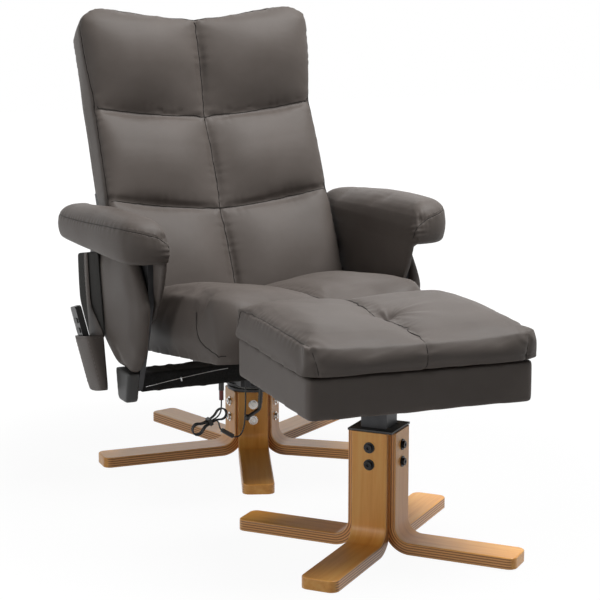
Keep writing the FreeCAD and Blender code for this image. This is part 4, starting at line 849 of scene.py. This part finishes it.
# Skirt that hangs inside the arm, as y and height, and its two faces
SKIRT_EDGE = [(-0.224, 0.525), (-0.217, 0.486), (-0.200, 0.436), (-0.176, 0.392), (-0.152, 0.360),
              (-0.120, 0.340), (-0.05, 0.334), (0.06, 0.334), (0.15, 0.336), (0.19, 0.36), (0.20, 0.42),
              (0.20, 0.525)]
SKIRT_FACES = (0.2842, 0.2982)
# Rings from the underside up: how far in from the plan, and the height as a share from underside to seam
PAD_UNDERSIDE = 0.4865
PAD_WALL = [(0.030, 0.0), (0.008, 0.0), (0.001, 0.10), (-0.003, 0.36), (-0.004, 0.62), (-0.002, 0.86),
            (0.0, 1.0)]
# Rings over the top: share of the way to the spine, and of the rise to the crown, outside and inside
PAD_CROWN = [(0.10, 0.38, 0.42), (0.24, 0.66, 0.68), (0.45, 0.88, 0.88), (0.72, 0.98, 0.98), (1.0, 1.0, 1.0)]
PAD_SPINE_X = -0.336
PAD_SPINE_FRONT = -0.165
PAD_SPINE_REAR = 0.150
PAD_SPINE_HEIGHT = (-0.08, 0.0, 0.06, 0.15), (0.585, 0.582, 0.577, 0.568)
# Where the front inner corner is drawn together: below the seam, along it, and the dimple
PAD_TUCK = (-0.287, -0.237, 0.515)
PAD_FOLDS = (-0.300, -0.236, 0.545)
PAD_DIMPLE = (-0.300, -0.238, 0.543)
PAD_DIMPLE_DEPTH = 0.0045
PAD_DIMPLE_REACH = 0.009
# Stitches round the front, below and above the seam
PAD_STITCHES = [(-0.374, -0.205, 0.560), (-0.352, -0.228, 0.556), (-0.326, -0.238, 0.549),
                (-0.309, -0.240, 0.544)]
PAD_STITCH_LIFTS = (-0.004, 0.005)
# The panel's upper front corner is drawn back, and its top rises under the pad
PANEL_DRAWN = 0.070
PANEL_TALLER = 0.016


def pad_loop():
    """The pad's plan as a loop of points with the way inward at each, and how many lie on the outside."""
    outer = line_through(WORLD, *PAD_PLAN)[::2]
    inner = line_through(WORLD, *PAD_INNER)[::2]
    loop = [np.array(spot) for spot in outer + inner]
    centre = np.mean(loop, axis=0)
    inward = []
    for index, spot in enumerate(loop):
        along = loop[(index + 2) % len(loop)] - loop[index - 2]
        way = np.array((-along[1], along[0], 0)) / max(np.hypot(along[0], along[1]), 1e-9)
        inward.append(way if way[:2] @ (centre - spot)[:2] > 0 else -way)
    return loop, inward, len(outer)


def boxed_pad(name, side):
    """A boxed cushion: a side band under a seam, and a crowned top that rolls over on the inner side."""
    loop, inward, outer_count = pad_loop()
    count = len(loop)
    places = []
    for inset, share in PAD_WALL:
        for spot, way in zip(loop, inward):
            on_inner_face = abs(spot[0] - PAD_INNER_X) <= PAD_INNER_NEAR
            place = spot + way * (max(inset, 0.0) if on_inner_face else inset)
            place[2] = PAD_UNDERSIDE + (spot[2] - PAD_UNDERSIDE) * share
            places.append(place)
    for across, rise_out, rise_in in PAD_CROWN:
        for index, spot in enumerate(loop):
            spine_y = min(max(spot[1], PAD_SPINE_FRONT), PAD_SPINE_REAR)
            place = spot + (np.array((PAD_SPINE_X, spine_y, 0)) - spot) * across
            rise = rise_in if index >= outer_count else rise_out
            place[2] = spot[2] + (np.interp(spine_y, *PAD_SPINE_HEIGHT) - spot[2]) * rise
            places.append(place)
    faces = faces_between(len(PAD_WALL) + len(PAD_CROWN), count)
    faces.append(tuple(reversed(range(count))))
    solid = bmesh.new()
    solid.from_mesh(mesh_of(name, [(-side * x, y, z) for x, y, z in places], faces))
    bmesh.ops.remove_doubles(solid, verts=solid.verts, dist=0.0004)
    flat = [[solid.verts.new((side * x, y, z)) for y, z in SKIRT_EDGE] for x in SKIRT_FACES]
    solid.faces.new(flat[0])
    solid.faces.new(flat[1][::-1])
    for index in range(len(SKIRT_EDGE)):
        following = (index + 1) % len(SKIRT_EDGE)
        solid.faces.new((flat[0][index], flat[1][index], flat[1][following], flat[0][following]))
    bmesh.ops.recalc_face_normals(solid, faces=solid.faces)
    mesh = bpy.data.meshes.new(name)
    solid.to_mesh(mesh)
    solid.free()
    return mesh


def arm_pad(label, side):
    mirror = Matrix.Diagonal((-side, 1, 1, 1))
    pad = add_object("arm_padding_" + label, boxed_pad("arm_padding_" + label, side))
    even_out(pad, voxel=0.005, smooth=2)
    seams = [line_through(mirror, *PAD_PLAN[2:], *PAD_SEAM_END)]
    at_frame = climb(points_of(pad.data)[:, 2], PAD_UNDERSIDE + 0.0025, reach=-0.003)
    stuff(pad, at_frame, shrink=0.0015, pressure=3.0, cap=0.006, seams=seams, reach=0.005)
    finer(pad)
    rumple(pad, size=0.07, height=0.0010, seed=31.0 + side)
    sew(pad, seams, depth=0.0022, width=0.004, pucker=0.0005, step=0.020)
    gather(pad, mirror @ Vector(PAD_TUCK), Vector((0, 0.2, 1)), reach=0.020, height=0.0010, step=0.0115)
    gather(pad, mirror @ Vector(PAD_FOLDS), Vector((side, -0.3, 0)), reach=0.018, height=0.0008, step=0.010)
    away = np.linalg.norm(points_of(pad.data) - np.array(mirror @ Vector(PAD_DIMPLE)), axis=1)
    raise_points(pad.data, -PAD_DIMPLE_DEPTH * np.exp(-(away / PAD_DIMPLE_REACH) ** 2))
    finish_soft(pad, TURNING, "arm_pad_" + label)
    seam_threads("arm_seams_" + label, pad, seams, TURNING, radius=0.0007)
    rows = [[(x, y, z + lift) for x, y, z in PAD_STITCHES] for lift in PAD_STITCH_LIFTS]
    stitches("arm_stitches_" + label, pad, [line_through(mirror, *row) for row in rows], TURNING)


def arm_panel(label, side):
    panel = evenly("arm_panel_" + label, "arm_shield_" + label, voxel=0.006, smooth=12)
    out = np.abs(points_of(panel.data)[:, 0])
    stuff(panel, climb(out, out.min() + 0.006, reach=-0.003), shrink=0.0, pressure=4.0, cap=0.010, calm=14)
    fill_box(panel, WORLD, "arm_panel_" + label)
    rows = points_of(panel.data)
    forward = climb(rows[:, 1], start=0.108, reach=-0.296)
    upper = climb(rows[:, 2], start=0.385, reach=0.10)
    rows[:, 1] += PANEL_DRAWN * forward ** 1.5 * upper ** 1.6
    rows[:, 2] += PANEL_TALLER * climb(rows[:, 2], start=0.40, reach=0.07)
    move_points(panel.data, rows)
    finer(panel)
    rumple(panel, size=0.09, height=0.0012, seed=41.0 + side)
    finish_soft(panel, TURNING, "arm_panel_" + label)


for label, side in (("left", -1), ("right", 1)):
    arm_pad(label, side)
    arm_panel(label, side)


# Footstool: tufted lid cushion and the covered box, in the stool's frame

LID_MIDDLE = [(0, 0.190, 0.42), (0, 0.178, 0.452), (0, 0.10, 0.464), (-0.004, 0.0, 0.452),
              (0.002, -0.1, 0.464), (0.002, -0.185, 0.452), (0.003, -0.207, 0.42), (0.003, -0.207, 0.392)]
LID_EDGE = [(0.222, 0.178, 0.41), (0.222, 0.165, 0.444), (0.214, 0.08, 0.447), (0.215, -0.077, 0.447),
            (0.212, -0.15, 0.445), (0.206, -0.185, 0.435), (0.203, -0.203, 0.41), (0.203, -0.205, 0.392)]
LID_CORNER = (0.205, -0.190, 0.442)
LID_SHOULDER = 0.0055
LID_TOP = 0.470
# The right ends of lid and box are fuller
FULLER_FROM = 0.05
LID_FULLER = 0.010
BOX_FULLER = 0.007
# Tuft: its place, the lid's top that it draws in, its folds, and the depth and reach of its pinch and hollow
TUFT_X = 0.012
TUFT_Y = -0.012
TUFT_ABOVE = 0.435
TUFT_FOLD = 0.0014
TUFT_FOLD_REACH = 0.060
TUFT_FOLD_LONGER = 0.025
TUFT_BUTTON = 0.018
TUFT_SPOKES = (5, 0.7, 1.0), (8, 2.1, 0.7), (13, 0.4, 0.5)
TUFT_PINCHES = (0.0060, 0.016), (0.0040, 0.05)


def tuft(piece):
    """Draw the lid down at its tuft, with folds like spokes, longer on one side."""
    rows = into(STOOL, points_of(piece.data))
    away = np.hypot(rows[:, 0] - TUFT_X, rows[:, 1] - TUFT_Y)
    turn = np.arctan2(rows[:, 1] - TUFT_Y, rows[:, 0] - TUFT_X)
    spokes = sum(height * np.sin(count * turn + phase) for count, phase, height in TUFT_SPOKES)
    longer = TUFT_FOLD_REACH + TUFT_FOLD_LONGER * np.cos(turn + 0.5)
    fold = TUFT_FOLD * spokes * np.exp(-(away / longer) ** 2) * np.minimum(1, away / TUFT_BUTTON)
    pinch = sum(depth * np.exp(-(away / reach) ** 2) for depth, reach in TUFT_PINCHES)
    rows[:, 2] += (fold - pinch) * (rows[:, 2] > TUFT_ABOVE)
    move_points(piece.data, out_of(STOOL, rows))


lid = evenly("stool_lid_cushion", "lid_padding", voxel=0.006)
lid_middle = [line_through(STOOL, *LID_MIDDLE)]
lid_edges = both_sides(STOOL, LID_EDGE)
at_board = climb(into(STOOL, points_of(lid.data))[:, 2], start=0.396, reach=-0.004)
stuff(lid, at_board, shrink=0.003, pressure=4.0, cap=0.012, seams=lid_middle, reach=0.008, calm=16)
fill_box(lid, STOOL, "stool_lid_cushion")
rows = into(STOOL, points_of(lid.data))
shoulder = np.maximum(climb(np.abs(rows[:, 0]), start=0.10, reach=0.10),
                      climb(rows[:, 1], start=0.07, reach=0.09))
rows[:, 2] += LID_SHOULDER * shoulder * climb(rows[:, 2], start=0.395, reach=0.04)
rows[:, 2] = np.minimum(rows[:, 2], LID_TOP)
rows[:, 0] += LID_FULLER * climb(rows[:, 0], FULLER_FROM, reach=0.17)
move_points(lid.data, out_of(STOOL, rows))
finer(lid)
rumple(lid, size=0.08, height=0.0012, seed=51.0)
sew(lid, lid_middle, depth=0.0030, width=0.007, pucker=0.0006, step=0.026)
sew(lid, lid_edges, depth=0.0022, width=0.005, pucker=0.0008, step=0.022)
tuft(lid)
for side in (-1, 1):
    corner = STOOL @ Vector((side * LID_CORNER[0], *LID_CORNER[1:]))
    gather(lid, corner, Vector((side * 0.6, -0.5, 0.6)), reach=0.026, height=0.0008, step=0.013)
finish_soft(lid, "stool_lid", "stool_lid_cushion")
seam_threads("lid_seams", lid, lid_middle, "stool_lid", radius=0.0008)
seam_threads("lid_edge_seams", lid, lid_edges, "stool_lid", radius=0.0005)

box_cover = evenly("stool_box", "box_padding", voxel=0.006)
rows = into(STOOL, points_of(box_cover.data))
rows[:, 0] += BOX_FULLER * climb(rows[:, 0], FULLER_FROM, reach=0.16)
move_points(box_cover.data, out_of(STOOL, rows))
finer(box_cover)
rumple(box_cover, size=0.09, height=0.0012, seed=61.0)
finish_soft(box_cover, "stool", "stool_box")


# End caps of the arms, softened along their edges

caps = evenly("arm_end_caps", "end_caps", voxel=0.003, smooth=10)
fill_box(caps, WORLD, "arm_end_caps")
dress(caps, TURNING, "black_plastic", replaced=("arm_end_caps",))


# Fabric sleeve of the cross beam, with its zip

SLEEVE_CORNER = 0.007
SLEEVE_COLUMNS = 130
SLEEVE_WIDE = 0.012
SLEEVE_HALF = 0.026
SLEEVE_LOOSE = 0.0006
SLEEVE_FOLD = 0.0034
SLEEVE_DROOP = 0.0022
ZIP_RADIUS = 0.0008
ZIP_Y = -0.094
ZIP_STOPS = [(-0.292, 0.199), (-0.25, 0.205), (-0.211, 0.210), (-0.139, 0.218), (-0.10, 0.221)]
SLIDER_X = -0.211
SLIDER = [(0, -0.0012, 0.003), (0, -0.0022, 0.001), (0.001, -0.0022, -0.002), (0.002, -0.0015, -0.006)]


def rounded_loop(half_wide, half_high, corner, steps):
    """Points round a rectangle with rounded corners, and on its longer sides."""
    loop = []
    for centre_x, centre_z, start in ((1, -1, -90), (1, 1, 0), (-1, 1, 90), (-1, -1, 180)):
        for number in range(steps + 1):
            turn = math.radians(start + 90 * number / steps)
            loop.append(np.array((centre_x * (half_wide - corner) + corner * math.cos(turn),
                                  centre_z * (half_high - corner) + corner * math.sin(turn))))
    return [a + (b - a) * t for a, b in zip(loop, loop[1:] + loop[:1])
            for t in ((0, 0.25, 0.5, 0.75) if math.dist(a, b) > SLEEVE_WIDE else (0,))]


def sleeve_place(x, y, z, middle):
    """A place on the loose cloth: slanting folds stand out, and the underside droops here and there."""
    broad = noise.noise(Vector((x * 42 + z * 30, y * 16, z * 10)))
    fine = noise.noise(Vector((x * 95 - z * 60, y * 30, 7)))
    swell = 1 + (SLEEVE_LOOSE + SLEEVE_FOLD * max(0, broad + 0.6 * fine)) / SLEEVE_HALF
    droop = SLEEVE_DROOP * max(0, noise.noise(Vector((x * 11, 3, 0)))) * (z < 0)
    return (x, middle.y + y * swell, middle.z + z * swell - droop)


low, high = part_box("beam_cover")
loop = rounded_loop((high.y - low.y) / 2, (high.z - low.z) / 2, SLEEVE_CORNER, steps=4)
columns = [low.x + (high.x - low.x) * column / SLEEVE_COLUMNS for column in range(SLEEVE_COLUMNS + 1)]
sleeve_places = [sleeve_place(x, y, z, (low + high) / 2) for x in columns for y, z in loop]
sleeve_mesh = mesh_of("beam_sleeve", sleeve_places, faces_between(len(columns), len(loop)))
sleeve = new_piece("beam_sleeve", sleeve_mesh, TURNING, "black_fabric", replaced=("beam_cover",))
finer(sleeve)
zip_line = line_through(WORLD, *[(x, ZIP_Y, z) for x, z in ZIP_STOPS])
zip_line = laid_on(surface_of(sleeve.data), zip_line, lift=ZIP_RADIUS)
new_piece("beam_zip", tubes("beam_zip", [zip_line], ZIP_RADIUS), TURNING, "bright_steel", zip_metal)
puller = min(zip_line, key=lambda spot: abs(spot.x - SLIDER_X))
slider_line = [puller + Vector(offset) for offset in SLIDER]
slider_mesh = tubes("beam_zip_slider", [slider_line], radius=0.0018, sides=8)
new_piece("beam_zip_slider", slider_mesh, TURNING, "bright_steel", zip_metal)


# Remote pouch: a hanging strip and a wedge pocket sewn of the same leather, in the pouch's leaning frame

POCKET_FOOT = -0.308
POCKET_TALL = 0.122
POCKET_HEIGHTS = [-0.184, -0.188, -0.200, -0.215, -0.232, -0.250, -0.268, -0.284, -0.296, -0.303, -0.307]
POCKET_FOOT_DEPTH = 0.0135
POCKET_FLARE = 0.0245
POCKET_HALF = 0.0475
POCKET_TAPER = 0.004
POCKET_TAPER_SHARE = 0.12
POCKET_CORNER = 0.009
POCKET_BELLY = 0.0025
POUCH_LEATHER = 0.0024
STRIP_ROWS = 26
STRIP_SHARES = (-1, -0.94, -0.5, 0, 0.5, 0.94, 1)
STRIP_TOP = -0.002
STRIP_TALL = 0.305
STRIP_IN = -0.0018
STRIP_EDGE = 0.0014
STRIP_BOW = 0.0035
STRIP_BOW_TALL = 0.19
STRIP_SPREAD_FROM = 0.120
STRIP_SPREAD_OVER = 0.060
STRIP_CENTRE = 0.030
STRIP_HALF = 0.011
STRIP_WIDER = 0.0345
STRAP_ROWS = 20
STRAP_COLUMNS = 6
STRAP_FRONT = -0.045
STRAP_REAR = 0.098
STRAP_CUT = 0.040
STRAP_CUT_FROM = 0.55
STRAP_IN = 0.0022
STRAP_SWAY = 0.0030
STRAP_TALL = 0.190
STRAP_SHEET = 0.0016
# Stitches: round the pocket's mouth, down one side of the strip, and down one edge of the pocket
MOUTH_HEM = [(0, -0.0475, -0.190), (-0.026, -0.0475, -0.190), (-0.0375, -0.038, -0.190), (-0.039, 0, -0.190),
             (-0.0375, 0.038, -0.190)]
STRIP_HEM = [(-0.004, 0.0085, -0.01), (-0.006, 0.0085, -0.11)]
POCKET_HEM = [(-0.0355, 0.043, -0.196), (-0.024, 0.043, -0.25), (-0.0145, 0.041, -0.300)]


def pocket_ring(height):
    """Half round the pocket at a height: side, rounded corner, bellied front, corner, side."""
    share = (height - POCKET_FOOT) / POCKET_TALL
    depth = POCKET_FOOT_DEPTH + POCKET_FLARE * share
    half = POCKET_HALF - POCKET_TAPER * max(0, POCKET_TAPER_SHARE - share) / POCKET_TAPER_SHARE
    corner = min(POCKET_CORNER, depth * 0.6)
    belly = POCKET_BELLY * math.sin(math.pi * min(1, max(0, share)))
    side = [(0, half), (-0.5 * (depth - corner), half), (-(depth - corner), half),
            (-(depth - corner * 0.3), half - corner * 0.3), (-depth, half - corner),
            (-depth - belly * 0.8, half * 0.45)]
    ring = [(x, -y) for x, y in side] + [(-depth - belly, 0)] + side[::-1]
    return [(x, y, height) for x, y in ring]


def strip_row(height):
    """Across the strip at a height: narrow above, as wide as the pocket below, its edges turned in."""
    bow = STRIP_BOW * math.sin(math.pi * min(1, -height / STRIP_BOW_TALL))
    wider = climb(-height, STRIP_SPREAD_FROM, STRIP_SPREAD_OVER)
    row = []
    for share in STRIP_SHARES:
        edge = STRIP_EDGE if abs(share) == 1 else 0
        y = STRIP_CENTRE * (1 - wider) + (STRIP_HALF + STRIP_WIDER * wider) * share
        row.append((STRIP_IN - bow * (1 - 0.5 * share ** 2) + edge, y, height))
    return row


def strap_row(share):
    """Across the dark strap at a share of its length, its rear edge cut in towards the pocket. Its dark tone
    is painted shade.
    """
    rear = STRAP_REAR - STRAP_CUT * max(0, share - STRAP_CUT_FROM) / (1 - STRAP_CUT_FROM)
    sway = STRAP_SWAY * math.sin(math.pi * share)
    height = STRIP_TOP - STRAP_TALL * share
    return [(STRAP_IN - sway * step, STRAP_FRONT + (rear - STRAP_FRONT) * step, height)
            for step in np.linspace(0, 1, STRAP_COLUMNS)]


def in_pouch(name, spots, faces):
    return mesh_of(name, [POUCH @ Vector(spot) for spot in spots], faces)


pocket = [spot for height in POCKET_HEIGHTS for spot in pocket_ring(height)]
round_count = len(pocket) // len(POCKET_HEIGHTS)
pouch_faces = faces_between(len(POCKET_HEIGHTS), round_count, closed=False)
left = len(pocket) - round_count
right = len(pocket) - 1
while right - left > 2:
    pouch_faces.append((left, left + 1, right - 1, right))
    left += 1
    right -= 1
pouch_faces.append((left, left + 1, right))
strip_heights = [STRIP_TOP - STRIP_TALL * row / (STRIP_ROWS - 1) for row in range(STRIP_ROWS)]
strip = [spot for height in strip_heights for spot in strip_row(height)]
pouch_faces += faces_between(STRIP_ROWS, len(STRIP_SHARES), len(pocket), closed=False)
pouch_mesh = in_pouch("pouch_leather", pocket + strip, pouch_faces)
pouch = new_piece("pouch_leather", pouch_mesh, TURNING, "taupe_leather", replaced=("remote_pouch",))
thicken(pouch, POUCH_LEATHER)
finer(pouch)
finer(pouch)

# Dark strap behind the strip, showing at its rear and front: its tone is painted shade, of leather in shade
# at the rear and of shadow over the front half
strap = [spot for row in range(STRAP_ROWS) for spot in strap_row(row / (STRAP_ROWS - 1))]
strap_mesh = in_pouch("pouch_strap", strap, faces_between(STRAP_ROWS, STRAP_COLUMNS, closed=False))
strap_piece = new_piece("pouch_strap", strap_mesh, TURNING, "black_fabric", strap_cloth_painted_shade)
thicken(strap_piece, STRAP_SHEET)
finer(strap_piece)

hems = [line_through(POUCH, *MOUTH_HEM)]
for side in (-1, 1):
    hems.append(line_through(POUCH, *[(x, STRIP_CENTRE + side * y, z) for x, y, z in STRIP_HEM]))
    hems.append(line_through(POUCH, *[(x, side * y, z) for x, y, z in POCKET_HEM]))
stitches("pouch_stitches", pouch, hems, TURNING)


# Light and floor

LIT_SPOT = (0, -0.3, 0.4)
FLOOR_HALF = 9


def area_light(name, place, size, power):
    data = bpy.data.lights.new(name, "AREA")
    data.shape = "DISK"
    data.size = size
    data.energy = power
    lamp = add_object(name, data)
    lamp.location = place
    lamp.rotation_euler = (Vector(LIT_SPOT) - Vector(place)).to_track_quat("-Z", "Y").to_euler()


def seen_white(tree):
    """1 where the camera or a mirror looks, 0 for light on the object."""
    path = add(tree, "LightPath").outputs
    first = maths(tree, "MAXIMUM", path["Is Camera Ray"], path["Is Glossy Ray"])
    return maths(tree, "MAXIMUM", first, path["Is Transmission Ray"])


area_light("key", (1.1, -0.8, 3.5), size=2.0, power=138)
area_light("fill", (-3.3, -1.0, 0.8), size=1.4, power=22)
area_light("rim", (1.2, 2.6, 2.4), size=2.0, power=9)

world = bpy.data.worlds.new("studio")
scene.world = world
world.use_nodes = True
background = world.node_tree.nodes["Background"]
background.inputs["Color"].default_value = grey(1)
shown_light = spread(world.node_tree, seen_white(world.node_tree), low=0.07, high=1.0)
world.node_tree.links.new(shown_light, background.inputs["Strength"])

floor_corners = [(x * FLOOR_HALF, y * FLOOR_HALF, 0) for x, y in ((-1, -1), (1, -1), (1, 1), (-1, 1))]
floor = add_object("floor", mesh_of("floor", floor_corners, [(0, 1, 2, 3)]))
material, tree, shader, places = new_material("floor", Roughness=0.9, Specular_IOR_Level=0.1)
shader.inputs["Base Color"].default_value = grey(0.32)
glow = add(tree, "Emission", {"Color": grey(1), "Strength": 1.08}).outputs["Emission"]
centred = add(tree, "Mapping", {"Vector": places, "Location": (0, -LIT_SPOT[1], 0)}).outputs["Vector"]
away = add(tree, "VectorMath", {0: centred}, operation="LENGTH").outputs["Value"]
fade = add(tree, "MapRange", {"Value": away, "From Min": 0.5, "From Max": 1.6, "To Min": 0.88, "To Max": 1.0},
           interpolation_type="SMOOTHSTEP")
share = maths(tree, "MULTIPLY", seen_white(tree), fade.outputs["Result"])
mixed = add(tree, "MixShader", {"Fac": share, 1: shader.outputs["BSDF"], 2: glow})
tree.links.new(mixed.outputs["Shader"], tree.nodes["Material Output"].inputs["Surface"])
floor.data.materials.append(material)
